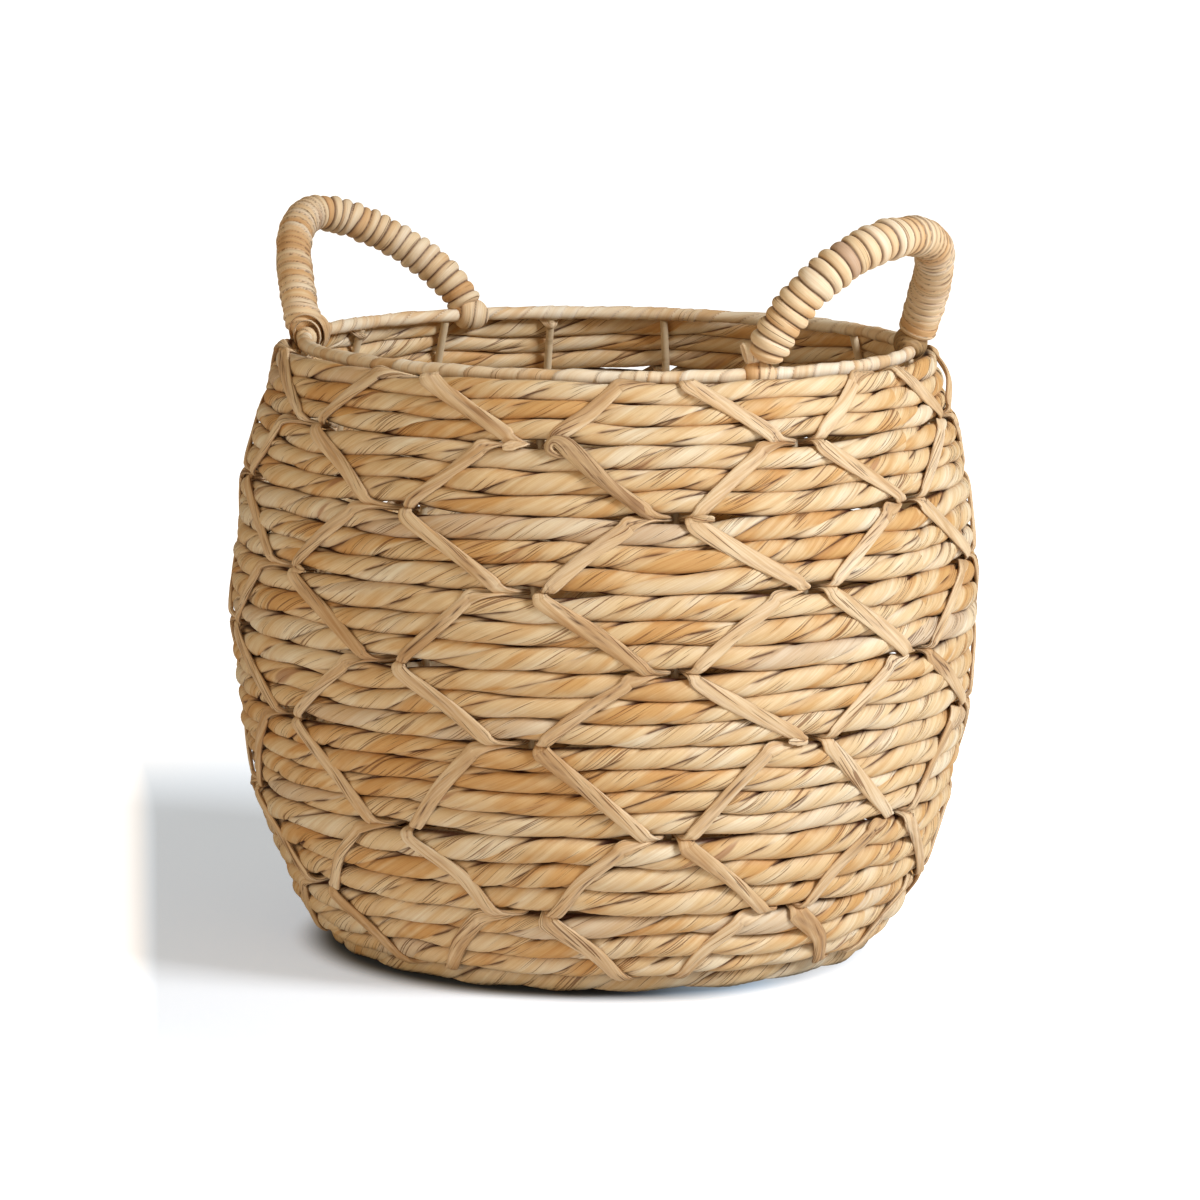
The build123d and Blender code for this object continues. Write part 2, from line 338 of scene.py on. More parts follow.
@dataclass
class Lacing:
    """Where the lashings part the courses: a slit of open wall on both sides of every other upright."""

    wall: Wall
    seed: int = 11
    openings: tuple[float, ...] = (3.0, 5.6, 6.2, 6.2, 6.0, 5.8, 5.2, 4.8, 3.4)  # millimetres
    reaches: tuple[float, float] = (34 * MM, 47 * MM)
    spread: float = 0.15
    widest: tuple[int, int, float] = (3, 3, 1.6)  # a boundary, its upright and how much larger its slit is
    opening: Array = field(init=False)
    reach: Array = field(init=False)

    def __post_init__(self) -> None:
        """Choose how wide and how long each slit is."""
        rng = np.random.default_rng(self.seed)
        half = self.wall.upright_count // 2
        chance = 1 + self.spread * rng.uniform(-1, 1, (len(self.openings), half))
        self.opening = np.array(self.openings)[:, None] * MM * chance
        self.opening[self.widest[0], self.widest[1]] *= self.widest[2]
        self.reach = rng.uniform(*self.reaches, (len(self.openings), half, 2))
        self.reach[self.widest[0], self.widest[1]] *= self.widest[2]

    def node_angle(self, boundary: int, index: int) -> float:
        """Give the azimuth of a boundary's upright where the strips pass, in radians."""
        return tau / self.wall.upright_count * (2 * index + boundary % 2)

    def open_at(self, boundary: int, azimuth: Array) -> Array:
        """Give how far the wall stands open along a boundary.

        Args:
            boundary: The boundary's number, counted down from 0 at the rim.
            azimuth: The angles round the basket.

        Returns:
            The width of the gap at each angle.
        """
        radius = self.wall.radius_at(self.wall.boundaries[boundary]) + self.wall.upright_half
        total = np.zeros_like(azimuth)
        for index, width in enumerate(self.opening[boundary]):
            turn = (azimuth - self.node_angle(boundary, index) + pi) % tau - pi
            before, after = self.reach[boundary, index]
            total += width * wedge(turn * radius, np.where(turn < 0, before, after))
        return total


# ---------------------------------------------------------------------------------------------------
# Materials
# ---------------------------------------------------------------------------------------------------

class Socket(Enum):
    """The kinds of socket that the node groups use."""

    COLOUR = "NodeSocketColor"
    VALUE = "NodeSocketFloat"
    VECTOR = "NodeSocketVector"


class Nodes:
    """A short way to add and join shader nodes in one tree."""

    def __init__(self, tree: bpy.types.NodeTree) -> None:
        """Work on a node tree."""
        self.tree = tree

    def add(self, kind: str, **settings: object) -> bpy.types.Node:
        """Add a node and set its properties.

        Args:
            kind: The node's type name.
            **settings: The properties to set on it.

        Returns:
            The node.
        """
        node = self.tree.nodes.new(kind)
        for name, value in settings.items():
            setattr(node, name, value)
        return node

    def join(self, start: bpy.types.NodeSocket, end: bpy.types.NodeSocket) -> None:
        """Link two sockets."""
        self.tree.links.new(start, end)

    def feed(self, socket: bpy.types.NodeSocket, value: object) -> None:
        """Link a socket to another one, or set it to a plain value."""
        if isinstance(value, bpy.types.NodeSocket):
            self.join(value, socket)
        elif value is not None:
            socket.default_value = value

    def maths(self, operation: str, first: object, second: object = None,
              third: object = None) -> bpy.types.NodeSocket:
        """Do sums on values.

        Args:
            operation: The Math node's operation.
            first: The first socket or number.
            second: The second one, if the operation takes it.
            third: The third one, if the operation takes it.

        Returns:
            The result's socket.
        """
        node = self.add("ShaderNodeMath", operation=operation)
        for slot, value in enumerate((first, second, third)):
            self.feed(node.inputs[slot], value)
        return node.outputs[0]

    def scaled(self, value: bpy.types.NodeSocket, low: float, high: float, to_low: float = 0.0,
               to_high: float = 1.0) -> bpy.types.NodeSocket:
        """Stretch a range of values to another one, smoothly and without going past its ends."""
        node = self.add("ShaderNodeMapRange", interpolation_type="SMOOTHSTEP")
        for slot, item in enumerate((value, low, high, to_low, to_high)):
            self.feed(node.inputs[slot], item)
        return node.outputs[0]

    def blend(self, share: object, first: object, second: object, mode: str = "MIX") -> bpy.types.NodeSocket:
        """Mix two colours.

        Args:
            share: How much of the second colour.
            first: The first colour or socket.
            second: The second one.
            mode: The Mix node's blend type.

        Returns:
            The mixed colour's socket.
        """
        node = self.add("ShaderNodeMix", data_type="RGBA", blend_type=mode)
        for name, value in (("Factor_Float", share), ("A_Color", first), ("B_Color", second)):
            socket = next(s for s in node.inputs if s.identifier == name)
            self.feed(socket, value if isinstance(value, (bpy.types.NodeSocket, float, int)) else (*value, 1))
        return next(s for s in node.outputs if s.identifier == "Result_Color")

    def noise(self, vector: bpy.types.NodeSocket, scale: float, detail: float = 2.0, roughness: float = 0.5,
              w: object = None) -> bpy.types.NodeSocket:
        """Add smooth noise and give its value socket."""
        node = self.add("ShaderNodeTexNoise", noise_dimensions="3D" if w is None else "4D")
        self.join(vector, node.inputs["Vector"])
        node.inputs["Scale"].default_value = scale
        node.inputs["Detail"].default_value = detail
        node.inputs["Roughness"].default_value = roughness
        if w is not None:
            self.feed(node.inputs["W"], w)
        return node.outputs[0]

    def stretched(self, vector: bpy.types.NodeSocket,
                  scale: tuple[float, float, float]) -> bpy.types.NodeSocket:
        """Scale a vector along its own axes."""
        node = self.add("ShaderNodeMapping", vector_type="POINT")
        self.join(vector, node.inputs["Vector"])
        node.inputs["Scale"].default_value = scale
        return node.outputs[0]


def new_group(name: str, inputs: dict[str, Socket], outputs: dict[str, Socket]) -> tuple[
    bpy.types.NodeTree, Nodes, bpy.types.Node, bpy.types.Node
]:
    """Start a shader node group with named sockets.

    Args:
        name: The group's name.
        inputs: Its inputs, by name.
        outputs: Its outputs, by name.

    Returns:
        The group, its node helper, and its input and output nodes.
    """
    group = bpy.data.node_groups.new(name, "ShaderNodeTree")
    for label, kind in inputs.items():
        group.interface.new_socket(label, in_out="INPUT", socket_type=kind.value)
    for label, kind in outputs.items():
        group.interface.new_socket(label, in_out="OUTPUT", socket_type=kind.value)
    nodes = Nodes(group)
    return group, nodes, nodes.add("NodeGroupInput"), nodes.add("NodeGroupOutput")


def fibre_group() -> bpy.types.NodeTree:
    """Make the group that draws a dried leaf's fibres: pale and dark streaks, and short dark nicks.

    Returns:
        The group. It takes the fibre map and gives the streaks, the nicks and the height.
    """
    group, nodes, start, end = new_group(
        "Leaf fibres",
        {"Map": Socket.VECTOR, "Seed": Socket.VALUE, "Nick amount": Socket.VALUE},
        {"Streaks": Socket.VALUE, "Nicks": Socket.VALUE, "Height": Socket.VALUE},
    )
    chart = start.outputs["Map"]
    seed = start.outputs["Seed"]
    broad = nodes.noise(nodes.stretched(chart, (15, 380, 1)), 1, 2, 0.5, seed)
    fine = nodes.noise(nodes.stretched(chart, (40, 1500, 1)), 1, 3, 0.65, seed)
    crack = nodes.noise(nodes.stretched(chart, (34, 1500, 1)), 1, 1, 0.5, nodes.maths("ADD", seed, 7.3))
    where = nodes.noise(nodes.stretched(chart, (24, 90, 1)), 1, 1, 0.5, nodes.maths("ADD", seed, 3.1))
    streaks = nodes.maths("ADD", nodes.maths("MULTIPLY", broad, 0.5), nodes.maths("MULTIPLY", fine, 0.5))
    edge = nodes.maths("SUBTRACT", 0.76, nodes.maths("MULTIPLY", start.outputs["Nick amount"], 0.14))
    bent = nodes.maths("SUBTRACT", edge, nodes.maths("MULTIPLY", nodes.scaled(where, 0.45, 0.66), 0.125))
    nicks = nodes.scaled(nodes.maths("SUBTRACT", crack, bent), 0.0, 0.045)
    nodes.join(nodes.scaled(streaks, 0.32, 0.68), end.inputs["Streaks"])
    nodes.join(nicks, end.inputs["Nicks"])
    height = nodes.maths("SUBTRACT", streaks, nodes.maths("MULTIPLY", nicks, 0.5))
    nodes.join(height, end.inputs["Height"])
    return group


def tone_group() -> bpy.types.NodeTree:
    """Make the group that colours a leaf: its own tone, drifting along its length, with stains.

    Returns:
        The group. It takes the leaf's tone, four colours and where it is, and gives a colour.
    """
    group, nodes, start, end = new_group(
        "Leaf tone",
        {
            "Place": Socket.VECTOR, "Map": Socket.VECTOR, "Tone": Socket.VALUE, "Grain": Socket.VALUE,
            "Pale": Socket.COLOUR, "Straw": Socket.COLOUR, "Honey": Socket.COLOUR, "Brown": Socket.COLOUR,
            "Stain": Socket.VALUE,
        },
        {"Colour": Socket.COLOUR},
    )
    place, chart, tone = (start.outputs[name] for name in ("Place", "Map", "Tone"))
    seed = nodes.maths("MULTIPLY", start.outputs["Grain"], 37.0)
    band = nodes.noise(nodes.stretched(chart, (7, 130, 1)), 1, 1, 0.5, seed)
    band = nodes.scaled(band, 0.42, 0.58)
    drift = nodes.noise(nodes.stretched(chart, (14, 60, 1)), 1, 3, 0.55, seed)
    patch = nodes.noise(place, 30, 3, 0.55, seed)
    mixed = nodes.maths("ADD", nodes.maths("MULTIPLY", drift, 0.5), nodes.maths("MULTIPLY", patch, 0.45))
    mixed = nodes.maths("ADD", mixed, nodes.maths("MULTIPLY", band, 0.1))
    lifted = nodes.maths("ADD", mixed, nodes.maths("MULTIPLY", nodes.maths("SUBTRACT", tone, 0.5), 0.26))
    low = nodes.blend(nodes.scaled(lifted, 0.36, 0.52), start.outputs["Honey"], start.outputs["Straw"])
    body = nodes.blend(nodes.scaled(lifted, 0.5, 0.74), low, start.outputs["Pale"])
    stain = nodes.noise(nodes.stretched(chart, (20, 130, 1)), 1, 2, 0.55, nodes.maths("ADD", seed, 5.7))
    rare = nodes.noise(place, 19, 1, 0.5, nodes.maths("ADD", seed, 9.1))
    both = nodes.maths("ADD", nodes.maths("MULTIPLY", stain, 0.6), nodes.maths("MULTIPLY", rare, 0.5))
    edge = nodes.maths("SUBTRACT", 0.77, nodes.maths("MULTIPLY", start.outputs["Stain"], 0.2))
    share = nodes.scaled(nodes.maths("SUBTRACT", both, edge), 0.0, 0.06)
    share = nodes.maths("MAXIMUM", share, nodes.scaled(tone, 1.0, 1.2))
    browned = nodes.blend(nodes.maths("MULTIPLY", share, 0.75), body, start.outputs["Brown"])
    nodes.join(browned, end.inputs["Colour"])
    return group


def painted_shade_group() -> bpy.types.NodeTree:
    """Make the group that paints shade into grooves, and pales crests with wear and a painted highlight.

    Returns:
        The group. It takes a colour and the crest value, and gives a colour.
    """
    group, nodes, start, end = new_group(
        "Painted groove shade",
        {"Colour": Socket.COLOUR, "Crest": Socket.VALUE, "Shade colour": Socket.COLOUR, "Depth": Socket.VALUE,
         "Wear and highlight": Socket.VALUE},
        {"Colour": Socket.COLOUR},
    )
    crest = start.outputs["Crest"]
    # Painted shade: where the crest value is low, in grooves and where cords touch, the colour is multiplied
    # towards the shade colour
    groove = nodes.maths("MULTIPLY", nodes.scaled(crest, 0.0, 0.72, 1.0, 0.0), start.outputs["Depth"])
    groove_shaded = nodes.blend(groove, start.outputs["Colour"], start.outputs["Shade colour"], "MULTIPLY")
    # Painted highlight with wear: the highest crests are lightened towards a pale cream
    top = nodes.maths("MULTIPLY", nodes.scaled(crest, 0.72, 1.0), start.outputs["Wear and highlight"])
    nodes.join(nodes.blend(top, groove_shaded, (1.0, 0.93, 0.8), "SOFT_LIGHT"), end.inputs["Colour"])
    return group


@dataclass(frozen=True)
class LeafFinish:
    """Dried leaf: four colours that it drifts between, how strongly its fibres show, and how strongly shade
    is painted into its grooves and a highlight onto its crests.
    """

    name: str
    pale: Colour = shade(0.915, 0.86, 0.75)
    straw: Colour = shade(0.87, 0.76, 0.59)
    honey: Colour = shade(0.80, 0.62, 0.395)
    brown: Colour = shade(0.62, 0.44, 0.31)
    # The colour that shade is painted with in grooves and where cords touch
    painted_shade_colour: Colour = shade(0.37, 0.20, 0.08)
    nick: Colour = shade(0.42, 0.25, 0.12)
    stain: float = 0.5
    nicks: float = 0.6
    # How strongly shade is painted into the grooves
    depth: float = 1.0
    # How much the crests are paled, as wear and a painted highlight
    wear_and_highlight: float = 0.25
    streaks: float = 0.45
    relief: float = 0.4 * MM
    roughness: float = 0.62

    def build(self, groups: dict[str, bpy.types.NodeTree]) -> bpy.types.Material:
        """Make the material.

        Args:
            groups: The shared node groups, by name.

        Returns:
            The material.
        """
        material = bpy.data.materials.new(self.name)
        material.use_nodes = True
        nodes = Nodes(material.node_tree)
        shader = material.node_tree.nodes["Principled BSDF"]
        chart = nodes.add("ShaderNodeUVMap", uv_map="Fibre").outputs["UV"]
        leaf = nodes.add("ShaderNodeAttribute", attribute_name="Leaf")
        parts = nodes.add("ShaderNodeSeparateColor")
        nodes.join(leaf.outputs["Color"], parts.inputs["Color"])
        tone, crest, grain = parts.outputs[0], parts.outputs[1], parts.outputs[2]
        place = nodes.add("ShaderNodeTexCoord").outputs["Object"]

        fibres = nodes.add("ShaderNodeGroup", node_tree=groups["fibres"])
        nodes.join(chart, fibres.inputs["Map"])
        nodes.join(nodes.maths("MULTIPLY", grain, 53.0), fibres.inputs["Seed"])
        fibres.inputs["Nick amount"].default_value = self.nicks

        tones = nodes.add("ShaderNodeGroup", node_tree=groups["tones"])
        for label, value in (("Place", place), ("Map", chart), ("Tone", tone), ("Grain", grain)):
            nodes.join(value, tones.inputs[label])
        for label in ("pale", "straw", "honey", "brown"):
            tones.inputs[label.capitalize()].default_value = (*getattr(self, label), 1)
        tones.inputs["Stain"].default_value = self.stain

        streaked = nodes.blend(
            nodes.maths("MULTIPLY", nodes.maths("SUBTRACT", 1.0, fibres.outputs["Streaks"]), self.streaks),
            tones.outputs["Colour"], self.honey, "MULTIPLY",
        )
        nicked = nodes.blend(nodes.maths("MULTIPLY", fibres.outputs["Nicks"], 0.75), streaked, self.nick)
        # Painted shade in the grooves and where cords touch, and a painted highlight with wear on the crests
        painted_shade = nodes.add("ShaderNodeGroup", node_tree=groups["painted_shade"])
        nodes.join(nicked, painted_shade.inputs["Colour"])
        nodes.join(crest, painted_shade.inputs["Crest"])
        painted_shade.inputs["Shade colour"].default_value = (*self.painted_shade_colour, 1)
        painted_shade.inputs["Depth"].default_value = self.depth
        painted_shade.inputs["Wear and highlight"].default_value = self.wear_and_highlight
        nodes.join(painted_shade.outputs["Colour"], shader.inputs["Base Color"])

        rough = nodes.scaled(fibres.outputs["Streaks"], 0.0, 1.0, self.roughness + 0.1, self.roughness - 0.08)
        nodes.join(rough, shader.inputs["Roughness"])
        relief = nodes.add("ShaderNodeBump")
        relief.inputs["Strength"].default_value = 0.9
        relief.inputs["Distance"].default_value = self.relief
        nodes.join(fibres.outputs["Height"], relief.inputs["Height"])
        nodes.join(relief.outputs["Normal"], shader.inputs["Normal"])
        shader.inputs["Specular IOR Level"].default_value = 0.35
        return material


@dataclass(frozen=True)
class WireFinish:
    """Painted steel wire: a satin coat that is a little uneven and rubbed."""

    name: str = "Painted wire"
    coat: Colour = shade(0.82, 0.73, 0.59)
    rubbed: Colour = shade(0.66, 0.55, 0.41)
    roughness: float = 0.42

    def build(self) -> bpy.types.Material:
        """Make the material."""
        material = bpy.data.materials.new(self.name)
        material.use_nodes = True
        nodes = Nodes(material.node_tree)
        shader = material.node_tree.nodes["Principled BSDF"]
        place = nodes.add("ShaderNodeTexCoord").outputs["Object"]
        wear = nodes.scaled(nodes.noise(place, 90, 4, 0.6), 0.5, 0.7)
        nodes.join(nodes.blend(wear, self.coat, self.rubbed), shader.inputs["Base Color"])
        drips = nodes.noise(place, 240, 2, 0.5)
        rough = nodes.scaled(drips, 0.3, 0.7, self.roughness - 0.08, self.roughness + 0.15)
        nodes.join(rough, shader.inputs["Roughness"])
        relief = nodes.add("ShaderNodeBump")
        relief.inputs["Strength"].default_value = 0.4
        relief.inputs["Distance"].default_value = 0.1 * MM
        nodes.join(drips, relief.inputs["Height"])
        nodes.join(relief.outputs["Normal"], shader.inputs["Normal"])
        return material


@dataclass
class Dressing:
    """All the finishes, built once, with a short way to finish a piece."""

    materials: dict[str, bpy.types.Material] = field(default_factory=dict)

    def __post_init__(self) -> None:
        """Build the shared groups and every material."""
        groups = {"fibres": fibre_group(), "tones": tone_group(), "painted_shade": painted_shade_group()}
        finishes = {
            "cord": LeafFinish("Twisted leaf cord"),
            "strip": LeafFinish("Lashing strip", stain=0.05, nicks=0.55, streaks=0.75, wear_and_highlight=0.3,
                                relief=0.6 * MM, pale=shade(0.92, 0.84, 0.72),
                                straw=shade(0.88, 0.775, 0.63), honey=shade(0.79, 0.66, 0.50)),
            "old_strip": LeafFinish("Weathered strip", stain=0.3, nicks=0.6, streaks=0.7, relief=0.5 * MM,
                                    pale=shade(0.84, 0.73, 0.57), straw=shade(0.76, 0.63, 0.47),
                                    honey=shade(0.63, 0.49, 0.34), brown=shade(0.50, 0.37, 0.26)),
            "rim": LeafFinish("Rim strip", stain=0.3, nicks=0.1, streaks=0.35, relief=0.3 * MM, depth=0.35,
                              pale=shade(0.95, 0.90, 0.81), straw=shade(0.92, 0.83, 0.70),
                              honey=shade(0.85, 0.71, 0.54)),
            "handle": LeafFinish("Handle cord", stain=0.3, nicks=0.3, streaks=0.5, depth=0.85,
                                 pale=shade(0.94, 0.87, 0.76), straw=shade(0.91, 0.81, 0.66),
                                 honey=shade(0.84, 0.68, 0.49), brown=shade(0.62, 0.45, 0.36)),
            "twine": LeafFinish("Twine", stain=0.2, nicks=0.3, depth=0.9, pale=shade(0.74, 0.62, 0.44),
                                straw=shade(0.66, 0.53, 0.36), honey=shade(0.54, 0.41, 0.26)),
        }
        for slot, finish in finishes.items():
            self.materials[slot] = finish.build(groups)
        self.materials["wire"] = WireFinish().build()

    def finish(self, piece: bpy.types.Object, material: str, slot: str,
               replaced: tuple[str, ...] = ()) -> None:
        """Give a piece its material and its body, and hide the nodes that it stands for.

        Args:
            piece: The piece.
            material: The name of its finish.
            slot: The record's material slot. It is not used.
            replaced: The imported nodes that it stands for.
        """
        piece.data.materials.clear()
        piece.data.materials.append(self.materials[material])
        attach(piece, "root")
        if replaced:
            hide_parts(*replaced)
        log.info("%s: %d faces", piece.name, len(piece.data.polygons))


# ---------------------------------------------------------------------------------------------------
# Twisted cords
# ---------------------------------------------------------------------------------------------------

@dataclass
class TwistedCord:
    """A cord of two leaf plies twisted together, as a section that turns along its length."""

    columns: int = 32
    groove: float = 0.21  # how deep the two grooves between the plies are, as a share of the radius
    groove_widths: tuple[float, float] = (0.24, 0.62)  # radians after and before a groove's bottom
    lobe: float = 0.13  # how much the two plies stand out to the sides
    squareness: float = 2.25  # 2 is round, more is pressed flatter against its neighbours
    fibre_slant: float = 0.24  # how much steeper the fibres run than the grooves

    def section(self) -> tuple[Array, Array, Array]:
        """Work out the section's columns, which stand closer together beside the grooves.

        Returns:
            For each column and one more, its angle, its radius as a share and how much of it is groove.
        """
        half = self.columns // 2
        share = np.arange(self.columns + 1) % half / half
        ply = np.arange(self.columns + 1) // half
        angle = pi * (ply + share - 0.115 * np.sin(tau * share))
        off = np.minimum(angle % pi, pi - angle % pi)
        wide = np.where(angle % pi < pi / 2, *self.groove_widths)
        near = np.clip(off / wide, 0, 1)
        radius = 1 - self.lobe * np.cos(off) ** 2 + self.lobe / 2
        return angle, radius, (1 - near) ** 2

    def crease(self, angle: Array, hollow: Array, place: Array,
               rng: np.random.Generator) -> tuple[Array, Array]:
        """Let each of the two grooves deepen and fade along the cord.

        Args:
            angle: The section's angles.
            hollow: How much of each column is groove.
            place: Where each row is, from 0 to a whole turn.
            rng: The source of the unevenness.

        Returns:
            How far each row and column is sunk, as a share of the radius, and its crest value.
        """
        first, second = (
            np.clip(0.8 + 0.5 * ring_noise(place, rng, 8, 60), 0.1, 1.25)[:, None] for _ in range(2)
        )
        strength = np.where(np.cos(angle)[None, :] > 0, first, second) * hollow[None, :]
        # The crest value falls in the grooves, where the material paints shade
        return self.groove * strength, 1 - 0.82 * np.clip(strength, 0, 1)

    def pressed(self, angle: Array) -> Array:
        """Give the radius of the outline that its neighbours press it into."""
        power = self.squareness
        return (np.abs(np.cos(angle)) ** power + np.abs(np.sin(angle)) ** power) ** (-1 / power)


@dataclass
class WallCords:
    """The 25 cords of the wall, in courses that the lashings part."""

    wall: Wall
    lacing: Lacing
    twist: TwistedCord = field(default_factory=TwistedCord)
    rows: int = 480
    twists: int = 12
    overlap: float = 1.05
    seed: int = 5

    def build(self, dressing: Dressing) -> None:
        """Build every cord."""
        number = 0
        for course, count in enumerate(self.wall.cords_per_course):
            rng = np.random.default_rng(self.seed + course)
            azimuth = np.arange(self.rows + 1) * tau / self.rows
            above = self.wall.boundaries[course] + self.lacing.open_at(course, azimuth) / 2
            below = self.wall.boundaries[course + 1] - self.lacing.open_at(course + 1, azimuth) / 2
            shares = np.array([1 + 0.07 * ring_noise(azimuth, rng, 3, 14) for _ in range(count)])
            shares /= shares.sum(axis=0)
            summed = np.concatenate([np.zeros((1, azimuth.size)), np.cumsum(shares, axis=0)])
            edges = above + (below - above) * summed
            for cord in range(count):
                number += 1
                self._build_cord(number, course, azimuth, edges[cord], edges[cord + 1], rng, dressing)

    def _build_cord(self, number: int, course: int, azimuth: Array, top: Array, bottom: Array,
                    rng: np.random.Generator, dressing: Dressing) -> None:
        """Build one cord between its upper and lower edge.

        Args:
            number: The cord's number, counted down from the rim.
            course: The course that it is in.
            azimuth: The angles of its rows.
            top: The length down the wall of its upper edge, at each row.
            bottom: The same for its lower edge.
            rng: The source of its unevenness.
            dressing: The finishes.
        """
        depth = self.wall.course_depth(course)
        middle, half = (top + bottom) / 2, (bottom - top) / 2 * self.overlap
        half_out = depth / 2 * (1 + 0.05 * ring_noise(azimuth, rng, 4, 20))
        pressed_in = LashingNet.pressure(self.wall, self.lacing, course, azimuth, middle)
        out = self.wall.upright_half + depth / 2 + 0.25 * MM * ring_noise(azimuth, rng, 2, 9)
        twists = self.twists + int(rng.integers(-1, 2))
        turn = twists * azimuth + rng.uniform(0, tau) + 0.42 * ring_noise(azimuth, rng, 2, 11)
        name = f"wall_cord_{number:02}"
        skin = cord_skin(f"{name}_twisted", self.twist, self.wall, azimuth, middle, out, half, half_out,
                         turn, pressed_in, rng)
        dressing.finish(skin.build(), "cord", "leaf_cord", (name,))


def cord_skin(name: str, twist: TwistedCord, wall: Wall, azimuth: Array, middle: Array, out: Array,
              half: Array, half_out: Array, turn: Array, pressed_in: Array,
              rng: np.random.Generator) -> Skin:
    """Make the skin of a closed cord on the wall.

    Args:
        name: The piece's name.
        twist: The cord's section.
        wall: The wall that it lies on.
        azimuth: The angles of its rows, and one more that closes it.
        middle: The length down the wall of its middle, at each row.
        out: How far out its middle is.
        half: Half its height along the wall.
        half_out: Half its thickness outward.
        turn: How far the section has turned.
        pressed_in: The share by which its outer side is pressed in.
        rng: The source of its leaves' tones.

    Returns:
        The skin.
    """
    angle, radius, hollow = twist.section()
    columns = angle.size
    around = angle[None, :] + turn[:, None]
    sunk, crest = twist.crease(angle, hollow, azimuth, rng)
    sunk[-1], crest[-1] = sunk[0], crest[0]
    reach = (radius[None, :] - sunk) * twist.pressed(around)
    reach *= 1 + 0.012 * np.sin(3 * angle[None, :] + 5 * azimuth[:, None] + rng.uniform(0, tau))
    sideways, outward = np.sin(around) * reach, np.cos(around) * reach
    outward *= np.where(outward > 0, 1 - pressed_in[:, None], 1)
    length = middle[:, None] - half[:, None] * sideways
    stands_out = out[:, None] + half_out[:, None] * outward
    points = wall.place(length[:-1, :-1], stands_out[:-1, :-1], azimuth[:-1, None])

    ring = float(np.linalg.norm(points[0, 0, :2])) * tau
    along = np.repeat(azimuth[:, None] / tau * ring, columns, axis=1)
    across = angle[None, :] * half.mean() * np.ones((azimuth.size, 1)) - twist.fibre_slant * along
    tone = leaf_tones(azimuth, angle, 0.16, rng)
    # Painted shade: the crest value falls towards the top and bottom of the cord, where it presses on its
    # neighbours
    contact = np.clip(1.06 - np.abs(np.sin(around)) ** 6, 0, 1)
    return Skin(name, points, along, across, tone, crest * contact, grain=float(rng.uniform(0.1, 0.9)))


def leaf_tones(place: Array, angle: Array, slant: float, rng: np.random.Generator) -> Array:
    """Choose the tones along two plies: each leaf has its own, and the next takes over on a slant.

    Args:
        place: Where each row is, from 0 to a whole turn.
        angle: The section's angle at each column.
        slant: How far a leaf's end runs along the cord over one radian of the section.
        rng: The source of the tones.

    Returns:
        The tone at each row and column, from 0 to 1.
    """
    tones = np.zeros((place.size, angle.size))
    for ply in range(2):
        count = int(rng.integers(9, 14))
        levels = np.clip(rng.normal(0.5, 0.27, count), 0.02, 0.98)
        levels = np.where(rng.uniform(size=count) < 0.07, rng.uniform(1.04, 1.11, count), levels)
        starts = np.sort(rng.uniform(0, tau, count))
        columns = np.arange(angle.size) * 2 // (angle.size - 1) == ply
        columns[-1] = ply == 0
        turned = np.where(np.arange(angle.size) == angle.size - 1, 0, angle)
        at = (place[:, None] + slant * (turned[columns] - ply * pi)[None, :]) % tau
        which = (np.searchsorted(starts, at) - 1) % count
        share = np.clip((at - starts[which]) % tau / 0.03, 0, 1)
        tones[:, columns] = levels[which] * share + levels[which - 1] * (1 - share)
    return tones


# ---------------------------------------------------------------------------------------------------
# Lashings
# ---------------------------------------------------------------------------------------------------

